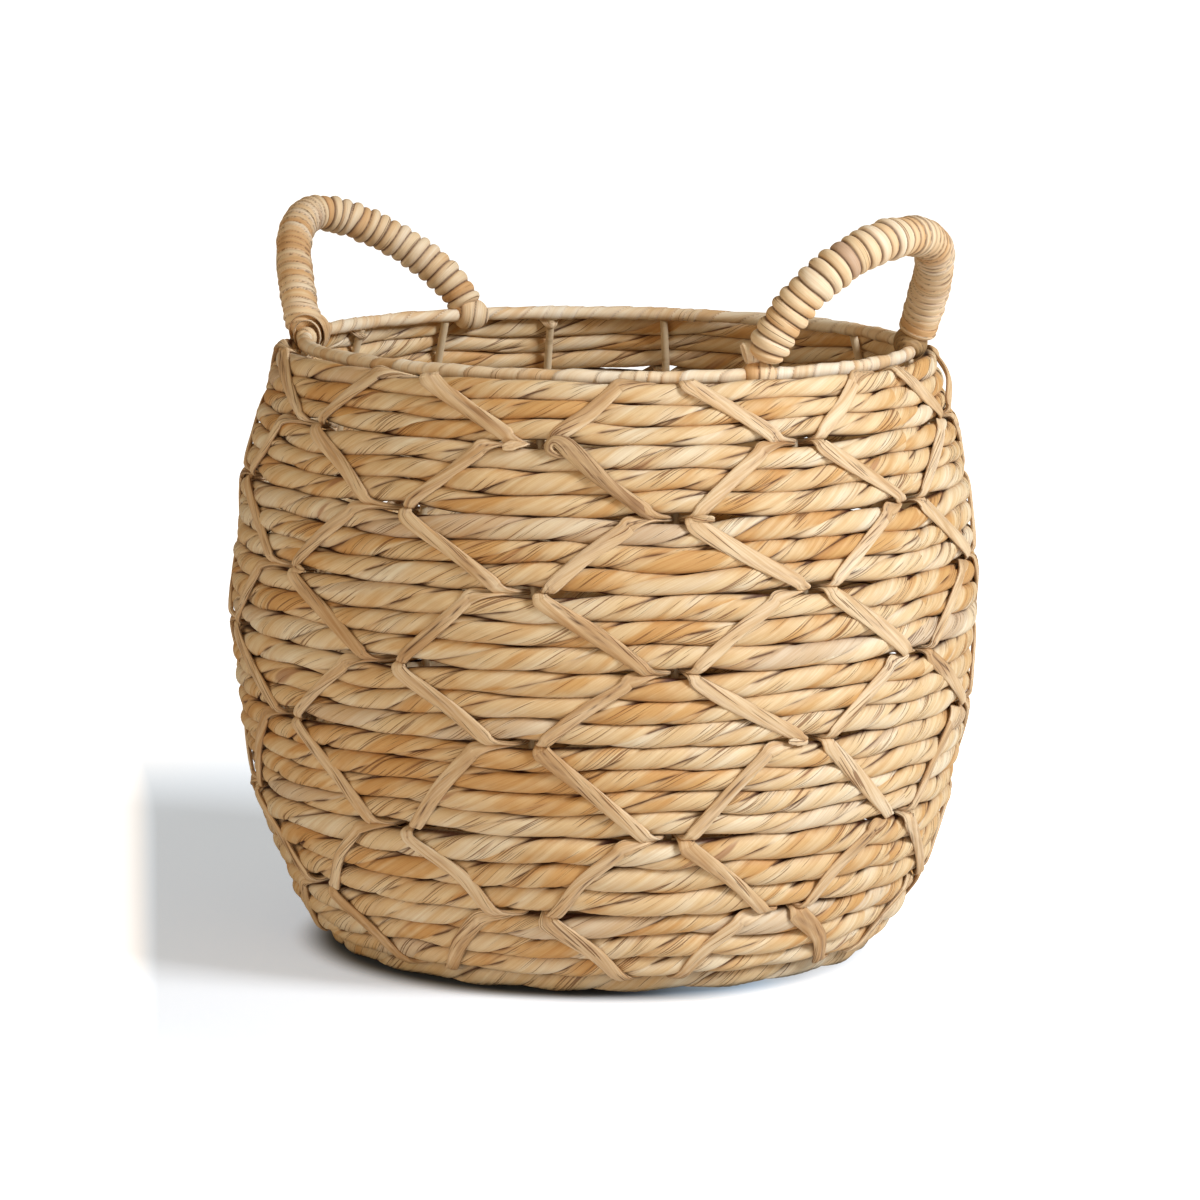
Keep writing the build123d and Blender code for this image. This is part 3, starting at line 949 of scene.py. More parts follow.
@dataclass
class Strip:
    """A folded leaf strip, swept along a line on the wall."""

    wall: Wall
    columns: int = 18

    def sweep(self, name: str, line: Array, form: Array, closed: bool, tones: tuple[float, float],
              rng: np.random.Generator, bake_rows: int) -> Skin:
        """Sweep the strip along its line.

        Args:
            name: The piece's name.
            line: The azimuth, the length down the wall and the place outward of each row.
            form: The width, the thickness and the roll of each row. At no roll the strip's face looks
                outward, at 1 along the wall and at 2 inward.
            closed: Whether the strip joins itself.
            tones: The middle and the spread of its leaf tone.
            rng: The source of its unevenness.
            bake_rows: How many strips its bake map is cut into.

        Returns:
            The strip's skin.
        """
        wall = self.wall
        points = wall.place(line[:, 1], line[:, 2], line[:, 0])
        eps = 0.5 * MM
        outward = unit(wall.place(line[:, 1], line[:, 2] + eps, line[:, 0]) - points)
        upward = unit(wall.place(line[:, 1] - eps, line[:, 2], line[:, 0]) - points)
        if closed:
            forward = unit(np.roll(points, -1, axis=0) - np.roll(points, 1, axis=0))
        else:
            forward = unit(np.gradient(points, axis=0))
        roll = form[:, 2:3] * pi / 2
        face = np.cos(roll) * outward + np.sin(roll) * upward
        side = unit(np.cross(forward, face))
        face = unit(np.cross(side, forward))

        return self.fold(name, points, side, face, form, closed, tones, rng, bake_rows)

    def fold(self, name: str, points: Array, side: Array, face: Array, form: Array, closed: bool,
             tones: tuple[float, float], rng: np.random.Generator, bake_rows: int) -> Skin:
        """Fold the strip's section along a line.

        Args:
            name: The piece's name.
            points: The middle of the strip, one row each.
            side: The way that its width goes.
            face: The way that it faces.
            form: Its width and thickness.
            closed: Whether the strip joins itself.
            tones: The middle and the spread of its leaf tone.
            rng: The source of its unevenness.
            bake_rows: How many strips its bake map is cut into.

        Returns:
            The strip's skin.
        """
        ring = np.arange(len(points)) / len(points) * tau
        busy = max(4, len(points) // 24)
        width = form[:, 0] / 2 * (1 + 0.06 * ring_noise(ring, rng, 1, busy))
        thickness = form[:, 1] / 2 * (1 + 0.07 * ring_noise(ring, rng, 1, busy))
        angle = np.arange(self.columns + 1) * tau / self.columns
        power = 2.15
        outline = (np.abs(np.cos(angle)) ** power + np.abs(np.sin(angle)) ** power) ** (-1 / power)
        flat, high = np.cos(angle) * outline, np.sin(angle) * outline
        top = np.clip(high, 0, 1)[None, :]
        fold = 0.4 * ring_noise(ring, rng, 1, busy)
        fold_side = np.sign(ring_noise(ring, rng, 1, 3))
        second = fold + 0.75 * fold_side * (1 + 0.2 * ring_noise(ring, rng, 1, busy))
        depth = np.clip(0.55 + 0.45 * ring_noise(ring, rng, 1, busy), 0, 1.2)
        dent = 0.34 * depth[:, None] * bump(flat[None, :] - fold[:, None], 0.16) * top
        dent += 0.22 * bump(flat[None, :] - second[:, None], 0.13) * top
        sideways = width[:, None] * flat[None, :]
        proud = thickness[:, None] * (high[None, :] - dent)
        skin = (
            points[:, None, :]
            + sideways[..., None] * side[:, None, :]
            + proud[..., None] * face[:, None, :]
        )

        steps = np.linalg.norm(np.diff(points, axis=0, append=points[:1] if closed else points[-1:]), axis=1)
        run = np.concatenate([[0], np.cumsum(steps)])
        last = np.concatenate([np.arange(len(points)), [0 if closed else len(points) - 1]])
        along = np.repeat(run[:, None], self.columns + 1, axis=1)
        across = angle[None, :] / tau * 19 * MM + 0.11 * along
        leaf = np.clip(tones[0] + tones[1] * ring_noise(ring, rng, 1, max(3, busy // 3)), 0.02, 0.98)[last]
        tone = np.repeat(leaf[:, None], self.columns + 1, axis=1)
        # Painted shade: the crest value falls in the strip's folds and along its lower side edges against the
        # cords
        shaded_low_edge = (np.abs(flat)[None, :] > 0.93) * (high < 0.3)[None, :]
        crest = np.clip(1 - 2.2 * dent[last] - 0.55 * shaded_low_edge, 0, 1)
        grain = float(rng.uniform(0.1, 0.9))
        return Skin(name, skin[:, :-1], along, across, tone, crest, closed, bake_rows, grain)

    def lay(self, name: str, azimuth: float, edge: float, stops: tuple[tuple[float, ...], ...],
            tones: tuple[float, float], rng: np.random.Generator) -> Skin:
        """Lay a short strip through places round an upright.

        Args:
            name: The piece's name.
            azimuth: The upright's azimuth.
            edge: The length down the wall that the places are measured from.
            stops: For each place, the millimetres along the wall, down it and outward from the wires'
                line, then the strip's width and thickness there, and its roll.
            tones: The middle and the spread of its leaf tone.
            rng: The source of its unevenness.

        Returns:
            The strip's skin.
        """
        places = np.array(stops)
        radius = self.wall.radius_at(edge) + places[:, 2].mean() * MM
        turned = azimuth + places[:, 0] * MM / radius
        line = np.stack([turned, edge + places[:, 1] * MM, places[:, 2] * MM], axis=-1)
        form = np.stack([places[:, 3] * MM, places[:, 4] * MM, places[:, 5]], axis=-1)
        per_span = 8
        route, shape = (smooth_route(values, per_span, False) for values in (line, form))
        return self.sweep(name, route, shape, False, tones, rng, 1)


@dataclass
class LashingNet:
    """The zigzag strips, one for each course, laced round the uprights."""

    wall: Wall
    lacing: Lacing
    per_span: int = 8
    seed: int = 23
    loose_course: int = 0
    loose_turn: int = 1
    loose_bow: float = 2.4 * MM
    covered: tuple[int, int] = (1, 12)  # the course and the turn whose strand lies under the folded end

    @staticmethod
    def pressure(wall: Wall, lacing: Lacing, course: int, azimuth: Array, middle: Array) -> Array:
        """Work out how strands press into a cord that they cross.

        Args:
            wall: The wall.
            lacing: Where the strands turn.
            course: The cord's course.
            azimuth: The angles of the cord's rows.
            middle: The length down the wall of the cord's middle.

        Returns:
            The share by which the cord's outer side is pressed in, at each row.
        """
        top, bottom = wall.boundaries[course], wall.boundaries[course + 1]
        radius = wall.radius_at((top + bottom) / 2) + wall.course_depth(course)
        down = (middle - top) / (bottom - top)
        step = tau / wall.upright_count * radius
        fall_start, fall_end, rise_start, rise_end = 5 * MM, 17 * MM, 9 * MM, 27 * MM
        total = np.zeros_like(azimuth)
        for index in range(wall.upright_count // 2):
            node = lacing.node_angle(course, index)
            falls = node + (fall_start + down * (step - fall_start - fall_end)) / radius
            rises = node - (rise_end + down * (step - rise_end - rise_start)) / radius
            for crossing in (falls, rises):
                total += bump(((azimuth - crossing + pi) % tau - pi) * radius, 6.5 * MM)
        return 0.15 * np.clip(total, 0, 1)

    def build(self, dressing: Dressing) -> None:
        """Build every lashing."""
        for course in range(len(self.wall.cords_per_course)):
            skin = self._lashing(course, np.random.default_rng(self.seed + course))
            dressing.finish(skin.build(), "strip", "lashing_strip", (f"lashing_{course + 1}",))

    def _lashing(self, course: int, rng: np.random.Generator) -> Skin:
        """Lay one strip round the basket.

        Args:
            course: The course that it binds.
            rng: The source of its unevenness.

        Returns:
            The strip's skin.
        """
        wall = self.wall
        top, bottom = wall.boundaries[course] + 0.7 * MM, wall.boundaries[course + 1] - 0.7 * MM
        depth = wall.course_depth(course) + wall.upright_half
        step = tau / wall.upright_count
        route, shape = [], []
        for turn in range(wall.upright_count):
            azimuth = step * (turn + course % 2)
            edge = top if turn % 2 == 0 else bottom
            radius = wall.radius_at(edge) + depth
            dice = rng.uniform(-1, 1, 8)
            stops = self._top_stops(dice) if turn % 2 == 0 else self._bottom_stops(dice)
            half_down, half_width = 0.5, (7.9 if turn % 2 == 0 else 7.2) * (1 + 0.1 * dice[5])
            if (course, turn) == self.covered:
                stops[-3:] = [
                    (8, 0.4, -2.2, 3.8, 1.6, 0.8),
                    (13, 1.2, -0.8, 3.6, 1.6, 0.3),
                    (21, 6.2, -0.3, 3.6, 1.6, 0),
                ]
                half_down, half_width = 0.42, 3.8
            for sideways, down, out, width, thickness, roll in stops:
                place = depth + out * MM if out <= 1 else out * MM - 10 * MM
                route.append((azimuth + sideways * MM / radius, edge + down * MM, place))
                shape.append((width * MM, thickness * MM, roll if turn % 2 == 0 else -roll))
            # Half way to the next upright the strand may stand a little off the cords
            ahead = azimuth + step
            half_way = (azimuth * 0.5 + ahead * 0.5) + (-3 if turn % 2 == 0 else -9) * MM / radius
            bow = 0.25 * MM * (dice[7] - 1)
            if course == self.loose_course and turn == self.loose_turn:
                bow = self.loose_bow
            route.append((half_way, top + half_down * (bottom - top) + 0.6 * MM * dice[6], depth + bow))
            shape.append((half_width * MM, 2.5 * MM, 0.0))
        route, shape = np.array(route), np.array(shape)
        # The azimuth grows by a whole turn over the route, so it is unwound while the curve is led
        slope = np.arange(len(route)) / len(route) * tau
        route[:, 0] -= slope
        line = smooth_route(route, self.per_span, closed=True)
        form = smooth_route(shape, self.per_span, closed=True)
        line[:, 0] += np.arange(len(line)) / len(line) * tau
        return Strip(wall).sweep(f"lashing_{course + 1}_strip", line, form, True, (0.42, 0.2), rng, 14)

    @staticmethod
    def _top_stops(dice: Array) -> list[tuple[float, ...]]:
        """List the places where a strip comes up to an upright, passes behind it and falls away.

        Args:
            dice: Eight chances, from -1 to 1.

        Returns:
            For each place, the millimetres along the wall and down it, and the millimetres outward,
            from the cords' outer side up to 1 and above that from the wires' line less 10. Then come
            the strip's width and thickness, and its roll.
        """
        arrive = 25 + 2.5 * dice[0]
        leave = 5.5 + 1.2 * dice[1]
        wide = 1 + 0.12 * dice[2]
        return [
            (-arrive - 4.5, 5.6, 0.2, 7.4 * wide, 2.5, 0.0),
            (-arrive - 1.2, 2.2, -0.1, 7.6 * wide, 2.3, 0.15),
            (-arrive + 4, 0.7, -1.0, 6.6, 2.1, 0.5),
            (-13, 0.1, -3.2, 5.0, 1.8, 0.9),
            (-4.4, 0.0, 13.6, 4.0, 1.6, 1.0),
            (0.0, 0.0, 6.9, 3.6, 1.5, 2.0),
            (4.2, 0.0, 13.4, 4.6, 1.8, 1.0),
            (leave, 0.0, -2.4, 6.6, 2.2, 0.8),
            (leave + 0.9, 1.4, -0.1, 8.2 * wide, 2.5, 0.25),
            (leave + 4.2, 4.6 + 0.5 * dice[3], 0.4, 8.6 * wide, 2.5, 0.0),
        ]

    @staticmethod
    def _bottom_stops(dice: Array) -> list[tuple[float, ...]]:
        """List the places where a strip comes down to an upright, passes behind it and climbs away.

        Args:
            dice: Eight chances, from -1 to 1.

        Returns:
            The places, as for a top upright.
        """
        arrive = 14 + 4.5 * dice[0]
        leave = 8.5 + 2.0 * dice[1]
        wide = 1 + 0.12 * dice[2]
        return [
            (-arrive - 4.5, -4.4, 0.4, 7.0 * wide, 2.6, 0.0),
            (-arrive - 1.0, -1.6, 0.0, 6.0 * wide, 2.5, 0.2),
            (-arrive + 2.5, -0.4, -1.6, 5.0, 2.2, 0.6),
            (-6.8, 0.0, -4.0, 4.3, 1.9, 0.95),
            (-4.2, 0.0, 13.4, 3.9, 1.6, 1.0),
            (0.0, 0.0, 6.9, 3.6, 1.5, 2.0),
            (4.2, 0.0, 13.4, 4.1, 1.7, 1.0),
            (leave - 2.2, -0.2, -2.8, 5.2, 2.2, 0.85),
            (leave, -1.6, -0.3, 5.9 * wide, 2.5, 0.3),
            (leave + 3.0, -4.8, 0.2, 6.6 * wide, 2.5, 0.0),
        ]


@dataclass
class LooseEnds:
    """The folded and cut ends of strips that show at some of the uprights."""

    wall: Wall
    lacing: Lacing
    folded_boundary: int = 1
    folded_index: int = 6
    cut_ends: int = 9
    seed: int = 61

    def build(self, dressing: Dressing) -> None:
        """Build the folded end and the cut ends."""
        rng = np.random.default_rng(self.seed)
        strip = Strip(self.wall)
        self._folded(strip, rng, dressing)
        for number in range(self.cut_ends):
            self._cut(number, strip, rng, dressing)

    def _folded(self, strip: Strip, rng: np.random.Generator, dressing: Dressing) -> None:
        """Build the thick end that curls over itself and runs down with a falling strand."""
        boundary = self.folded_boundary
        out = self.wall.course_depth(boundary) / MM + 2.15
        # Along, down and outward, then the width, the thickness and the roll
        stops = (
            (14.5, 5.2, out - 0.5, 3.0, 2.2, 0.0),
            (11.5, 5.2, out + 0.6, 4.0, 2.6, 0.0),
            (8.2, 3.8, out + 1.0, 4.4, 2.8, 0.1),
            (7.4, 1.2, out + 1.3, 4.6, 2.9, 0.0),
            (9.8, -0.9, out + 1.7, 5.8, 3.2, 0.0),
            (14.2, 0.6, out + 1.8, 8.2, 3.3, 0.0),
            (19.0, 4.4, out + 1.6, 9.4, 3.1, 0.0),
            (25.5, 10.0, out + 1.4, 8.4, 2.9, 0.0),
            (33.0, 16.6, out + 1.3, 6.8, 2.7, 0.0),
            (41.0, 23.2, out + 1.2, 5.8, 2.6, 0.0),
            (49.5, 29.6, out + 0.9, 5.2, 2.3, 0.0),
            (56.0, 33.6, out - 0.8, 3.6, 1.8, 0.0),
        )
        azimuth = self.lacing.node_angle(boundary, self.folded_index)
        edge = float(self.wall.boundaries[boundary])
        skin = strip.lay("lashing_2_folded_end", azimuth, edge, stops, (0.4, 0.12), rng)
        dressing.finish(skin.build(), "old_strip", "lashing_strip")

    def _cut(self, number: int, strip: Strip, rng: np.random.Generator, dressing: Dressing) -> None:
        """Build one short cut end, which sticks out beside an upright.

        Args:
            number: The end's number.
            strip: The sweep that makes it.
            rng: The source of its place and shape.
            dressing: The finishes.
        """
        boundary = 1 + number % (len(self.wall.boundaries) - 2)
        index = int(rng.integers(0, self.wall.upright_count // 2))
        depth = self.wall.course_depth(boundary)
        out = depth / MM + 2.15
        way = 1 if rng.uniform() < 0.6 else -1
        length = rng.uniform(6, 11)
        fall = rng.uniform(-3.5, 3.5)
        width = rng.uniform(3.4, 5.2)
        stops = (
            (way * 5.0, 0.0, out - 5.0, width * 0.8, 1.6, 0.9),
            (way * 6.5, 0.2 * fall, out - 1.2, width, 1.7, 0.6),
            (way * (7.5 + 0.35 * length), 0.5 * fall, out + 0.7, width, 1.6, 0.2),
            (way * (7.5 + 0.75 * length), 0.8 * fall, out + 1.5, width * 0.85, 1.4, 0.0),
            (way * (7.5 + length), fall, out + 1.9, width * 0.5, 0.9, 0.0),
        )
        azimuth = self.lacing.node_angle(boundary, index)
        edge = float(self.wall.boundaries[boundary])
        name = f"lashing_{boundary + 1}_cut_end_{number + 1:02}"
        skin = strip.lay(name, azimuth, edge, stops, (float(rng.uniform(0.3, 0.8)), 0.05), rng)
        dressing.finish(skin.build(), "strip", "lashing_strip")


# ---------------------------------------------------------------------------------------------------
# Wound strips: the rim, the handles and their ties
# ---------------------------------------------------------------------------------------------------

@dataclass
class Winding:
    """A strip wound round a rod, from flat overlapping turns to plump round ones."""

    columns: int = 28
    spacing: float = 0.45 * MM

    def wind(self, name: str, line: Array, closed: bool, hub: Array, pitch: Array, plump: Array, step: Array,
             tilt: float, rng: np.random.Generator, bake_rows: int, dark: float | None = None) -> Skin:
        """Wind the strip.

        Args:
            name: The piece's name.
            line: The rod's middle line, evenly sampled, one row each.
            closed: Whether the rod is a ring.
            hub: The radius under the strip, at each row.
            pitch: The distance from one turn to the next.
            plump: The height of a plump turn's crown.
            step: The height of a flat turn's overlapping edge.
            tilt: How far the turns lean along the rod, in metres.
            rng: The source of the unevenness.
            bake_rows: How many strips its bake map is cut into.
            dark: How many turns from the start the middle of a brown leaf lies, if there is one.

        Returns:
            The skin.
        """
        rows = len(line)
        ahead = np.roll(line, -1, axis=0) if closed else np.vstack([line[1:], 2 * line[-1] - line[-2]])
        behind = np.roll(line, 1, axis=0) if closed else np.vstack([2 * line[0] - line[1], line[:-1]])
        forward = unit(ahead - behind)
        lengths = np.linalg.norm(ahead - line, axis=1)
        run = np.concatenate([[0], np.cumsum(lengths)])
        side = self._sides(forward)
        other = np.cross(forward, side)
        angle = np.arange(self.columns + 1) * tau / self.columns

        uneven = np.interp(run[:-1], np.linspace(0, run[-1], 60), rng.normal(0, 0.10, 60))
        turns = np.concatenate([[0], np.cumsum(lengths / (pitch * np.exp(uneven)))])
        if closed:
            turns *= round(turns[-1]) / turns[-1]
        lean = tilt / float(np.mean(pitch))
        knots = np.linspace(0, run[-1], max(4, int(run[-1] / (9 * MM))))
        wander = [
            np.interp(run, knots, rng.normal(0, 1, knots.size))[:, None] * (1 - closed) for _ in range(2)
        ]
        phase = turns[:, None] + angle[None, :] / tau
        phase = phase + (lean + 0.13 * wander[0]) * np.cos(angle[None, :] + 0.6 + 0.5 * wander[1])
        number = np.floor(phase).astype(int)
        share = phase - number
        dice = rng.uniform(0, 1, round(turns[-1]) if closed else 512)
        strip = number - angle[None, :] / tau  # how many turns of strip lie before each place
        whole = np.floor(strip).astype(int)
        part = np.clip((strip - whole) * 3 - 1, 0, 1)
        chance = dice[whole % dice.size] * (1 - part) + dice[(whole + 1) % dice.size] * part
        size = 1 + 0.55 * (chance - 0.5)
        crown = np.sqrt(np.clip(1 - (2 * share - 1) ** 2, 0, 1))
        slope = (1 - share) * np.clip(share / 0.07, 0, 1)
        last = np.concatenate([np.arange(rows), [0 if closed else rows - 1]])
        plump_of, step_of, hub_of = plump[last][:, None], step[last][:, None], hub[last][:, None]
        reach = hub_of + plump_of * size * crown + step_of * (0.6 + 0.8 * chance) * slope
        reach = reach[:-1, :-1]
        ring = (
            np.cos(angle[:-1])[None, :, None] * side[:, None, :]
            + np.sin(angle[:-1])[None, :, None] * other[:, None, :]
        )
        points = line[:, None, :] + reach[..., None] * ring

        strip_pitch = pitch[last][:, None]
        along = strip * tau * hub_of.mean()
        across = share * strip_pitch
        # A tone past the end of the palette is a brown leaf
        tone = chance if dark is None else np.where(np.abs(strip - dark) < 0.45, 1.15, chance)
        # Painted shade: the crest value falls at the edges of each turn, where one turn meets the next
        round_edge = np.clip(np.minimum(share, 1 - share) / 0.2, 0, 1)
        flat_edge = np.clip(share / 0.2, 0, 1)
        mix = plump_of / np.maximum(plump_of + step_of, 1e-9)
        crest = mix * round_edge + (1 - mix) * (0.15 + 0.85 * flat_edge)
        grain = float(rng.uniform(0.1, 0.9))
        return Skin(name, points, along, across, tone, crest, closed, bake_rows, grain)

    @staticmethod
    def _sides(forward: Array) -> Array:
        """Carry a side direction along the rod without letting it spin."""
        first = np.cross(forward[0], (0, 0, 1))
        if np.linalg.norm(first) < 0.1:
            first = np.cross(forward[0], (1, 0, 0))
        sides = [first / np.linalg.norm(first)]
        for way in forward[1:]:
            kept = sides[-1] - way * np.dot(sides[-1], way)
            sides.append(kept / np.linalg.norm(kept))
        return np.array(sides)


@dataclass
class Rim:
    """The rim: a leaf strip wound round the wire ring."""

    winding: Winding = field(default_factory=lambda: Winding(columns=22, spacing=0.5 * MM))
    pitch: float = 13 * MM
    seed: int = 41

    def build(self, dressing: Dressing) -> None:
        """Build the wound rim."""
        low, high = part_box("rim_wrap")
        half = (high.z - low.z) / 2
        radius, height = high.x - half, (high.z + low.z) / 2
        rows = int(tau * radius / self.winding.spacing)
        azimuth = np.arange(rows) * tau / rows
        rng = np.random.default_rng(self.seed)
        swell = 0.18 * MM * ring_noise(azimuth, rng, 5, 40)
        line = np.stack([radius * np.cos(azimuth), radius * np.sin(azimuth), np.full(rows, height)], axis=-1)
        ones = np.ones(rows)
        pitch = self.pitch * np.exp(0.45 * ring_noise(azimuth, rng, 3, 18))
        skin = self.winding.wind("rim_wound_strip", line, True, hub=half - 0.15 * MM + swell,
                                 pitch=pitch, plump=0 * ones, step=0.42 * MM * ones, tilt=2.5 * MM,
                                 rng=rng, bake_rows=9)
        dressing.finish(skin.build(), "rim", "rim_strip", ("rim_wrap",))


@dataclass(frozen=True)
class Band:
    """A leaf band that loops round the rim beside a foot. Its places are from the foot, in millimetres."""

    along: float  # along the rim, away from the handle's middle
    up: float
    half_height: float
    half_width: float
    width: float
    slant: float  # how far its top stands along the rim from its bottom


@dataclass(frozen=True)
class Tie:
    """How a foot is bound to the rim: a sleeve wound along the rim, and the bands that loop over it."""

    reach: float = 8.5  # half the sleeve's length, in millimetres
    swell: float = 2.3
    lift: float = 0.0  # how far the sleeve's middle stands up over the rim's line
    hub: float = 3.35  # the radius under its turns at its ends
    pitch: float = 5.6
    plump: float = 0.55
    finish: str = "strip"
    bands: tuple[Band, ...] = ()


@dataclass
class Handle:
    """A stiff hoop that leans outward, wound with leaf cord and tied to the rim at its two feet."""

    side: str
    heading: float  # the azimuth of its middle
    lean: float  # from upright, outward
    power: float  # 2 is a round hoop, less is more pointed
    height: float  # from the rim's middle to the hoop's line, measured along the lean
    bow: float  # how far its legs bend outward half way up
    askew: float  # how far its top stands towards +Y
    thickness: float
    plump_end: float  # which end has the plump turns: 0 is the foot with less Y, 1 the other
    front: Tie
    back: Tie
    seed: int
    dark: float | None = None  # how many turns from its first foot a brown leaf lies
    starts: float = 0.028  # the share of the whole hoop that is left out at each foot

    def feet(self) -> tuple[float, float, float]:
        """Read the radius of the rim, its height and the angle from the handle's middle to a foot."""
        low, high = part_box("frame_rim_ring")
        half = (high.z - low.z) / 2
        tie_low, tie_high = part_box(f"handle_{self.side}_back_tie")
        middle = (tie_low + tie_high) / 2
        angle = abs(atan2(middle.y, abs(middle.x)))
        return high.x - half, (high.z + low.z) / 2, angle

    def line(self, spacing: float) -> Array:
        """Lay out the hoop's middle line, evenly spaced from the foot with less Y to the other."""
        radius, rim_height, angle = self.feet()
        half = radius * sin(angle)
        sweep = np.linspace(self.starts * pi, (1 - self.starts) * pi, 600)
        share = np.sin(sweep) ** (2 / self.power)
        level = np.cos(sweep)
        across = -np.sign(level) * np.abs(level) ** (2 / self.power) * half + self.askew * share
        rise = share * self.height
        outward = radius * cos(angle) + rise * sin(self.lean) + self.bow * np.sin(pi * share)
        way = 1 if cos(self.heading) > 0 else -1
        raw = np.stack([way * outward, across, rim_height + rise * cos(self.lean)], axis=-1)
        run = np.concatenate([[0], np.cumsum(np.linalg.norm(np.diff(raw, axis=0), axis=1))])
        even = np.linspace(0, run[-1], int(run[-1] / spacing))
        return np.stack([np.interp(even, run, raw[:, i]) for i in range(3)], axis=-1)

    def build(self, dressing: Dressing) -> None:
        """Build the wound hoop and its two feet."""
        rng = np.random.default_rng(self.seed)
        winding = Winding(columns=36, spacing=0.4 * MM)
        line = self.line(winding.spacing)
        share = np.linspace(0, 1, len(line))
        toward = share if self.plump_end == 0 else 1 - share
        plumpness = 1 - np.clip((toward - 0.42) / 0.14, 0, 1)
        plumpness = plumpness * plumpness * (3 - 2 * plumpness)
        pitch = (4.7 + 1.3 * plumpness) * MM
        plump = (0.35 + 1.85 * plumpness) * MM
        step = (1.0 - 0.8 * plumpness) * MM
        taper = 1 - 0.10 * np.exp(-toward / 0.03) + 0.04 * np.exp(-(1 - toward) / 0.06)
        from_end = np.minimum(share, 1 - share) * len(line) * winding.spacing / (5 * MM)
        taper *= np.sqrt(1 - np.clip(0.85 - from_end, 0, 1) ** 2)
        hub = self.thickness / 2 * taper - 0.75 * plump - 0.5 * step
        skin = winding.wind(f"handle_{self.side}_wound_cord", line, False, hub, pitch, plump, step,
                            1.6 * MM, rng, 6, self.dark)
        dressing.finish(skin.build(), "handle", "handle_cord", (f"handle_{self.side}_wrap",))
        for end, name, tie in ((-1, "front", self.front), (1, "back", self.back)):
            self._tie(end, name, tie, rng, dressing)
            for number, band in enumerate(tie.bands):
                self._band(end, f"handle_{self.side}_{name}_band_{number + 1}", band, rng, dressing)

    def _band(self, end: int, name: str, band: Band, rng: np.random.Generator, dressing: Dressing) -> None:
        """Loop a band round the rim beside a foot.

        Args:
            end: -1 for the foot with less Y, 1 for the other.
            name: The piece's name.
            band: Its place and shape.
            rng: The source of its unevenness.
            dressing: The finishes.
        """
        radius, rim_height, angle = self.feet()
        way = 1 if cos(self.heading) > 0 else -1
        turn = angle + band.along * MM / radius
        outward = np.array([way * cos(turn), end * sin(turn), 0])
        along = np.array([-way * sin(turn), end * cos(turn), 0])
        upward = np.array([0, 0, 1.0])
        middle = radius * outward + (rim_height + band.up * MM) * upward
        rows = 64
        sweep = np.arange(rows)[:, None] / rows * tau
        high, wide = np.sin(sweep), np.cos(sweep)
        points = middle + MM * (high * band.half_height * upward + wide * band.half_width * outward
                                + high * band.slant / 2 * along)
        forward = unit(np.roll(points, -1, axis=0) - np.roll(points, 1, axis=0))
        face = unit(high * band.half_width * upward + wide * band.half_height * outward)
        side = unit(np.cross(forward, face))
        face = unit(np.cross(side, forward))
        thickness = 1.7 * MM
        form = np.array([[band.width * MM, thickness]]) * np.ones((rows, 1))
        skin = Strip(None, 22).fold(name, points, side, face, form, True, (0.6, 0.15), rng, 2)
        dressing.finish(skin.build(), "handle", "tie_strip")

    def _tie(self, end: int, name: str, tie: Tie, rng: np.random.Generator, dressing: Dressing) -> None:
        """Wind a foot's sleeve round the rim.

        Args:
            end: -1 for the foot with less Y, 1 for the other.
            name: The foot's name.
            tie: How it is bound.
            rng: The source of its unevenness.
            dressing: The finishes.
        """
        radius, rim_height, angle = self.feet()
        way = 1 if cos(self.heading) > 0 else -1
        middle = angle * end
        reach = tie.reach * MM / radius
        winding = Winding(columns=30, spacing=0.35 * MM)
        rows = int(2 * reach * radius / winding.spacing)
        turn = middle + np.linspace(-reach, reach, rows)
        share = np.linspace(-1, 1, rows)
        high = rim_height + tie.lift * MM * (1 - share * share)
        line = np.stack([way * radius * np.cos(turn), radius * np.sin(turn), high], axis=-1)
        ones = np.ones(rows)
        hub = tie.hub * MM + tie.swell * MM * (1 - np.abs(share) ** 3)
        skin = winding.wind(f"handle_{self.side}_{name}_foot", line, False, hub=hub,
                            pitch=tie.pitch * MM * ones, plump=tie.plump * MM * ones,
                            step=0.5 * MM * ones, tilt=0.32 * tie.pitch * MM, rng=rng, bake_rows=2)
        dressing.finish(skin.build(), tie.finish, "tie_strip", (f"handle_{self.side}_{name}_tie",))


# ---------------------------------------------------------------------------------------------------
# The base and the frame
# ---------------------------------------------------------------------------------------------------

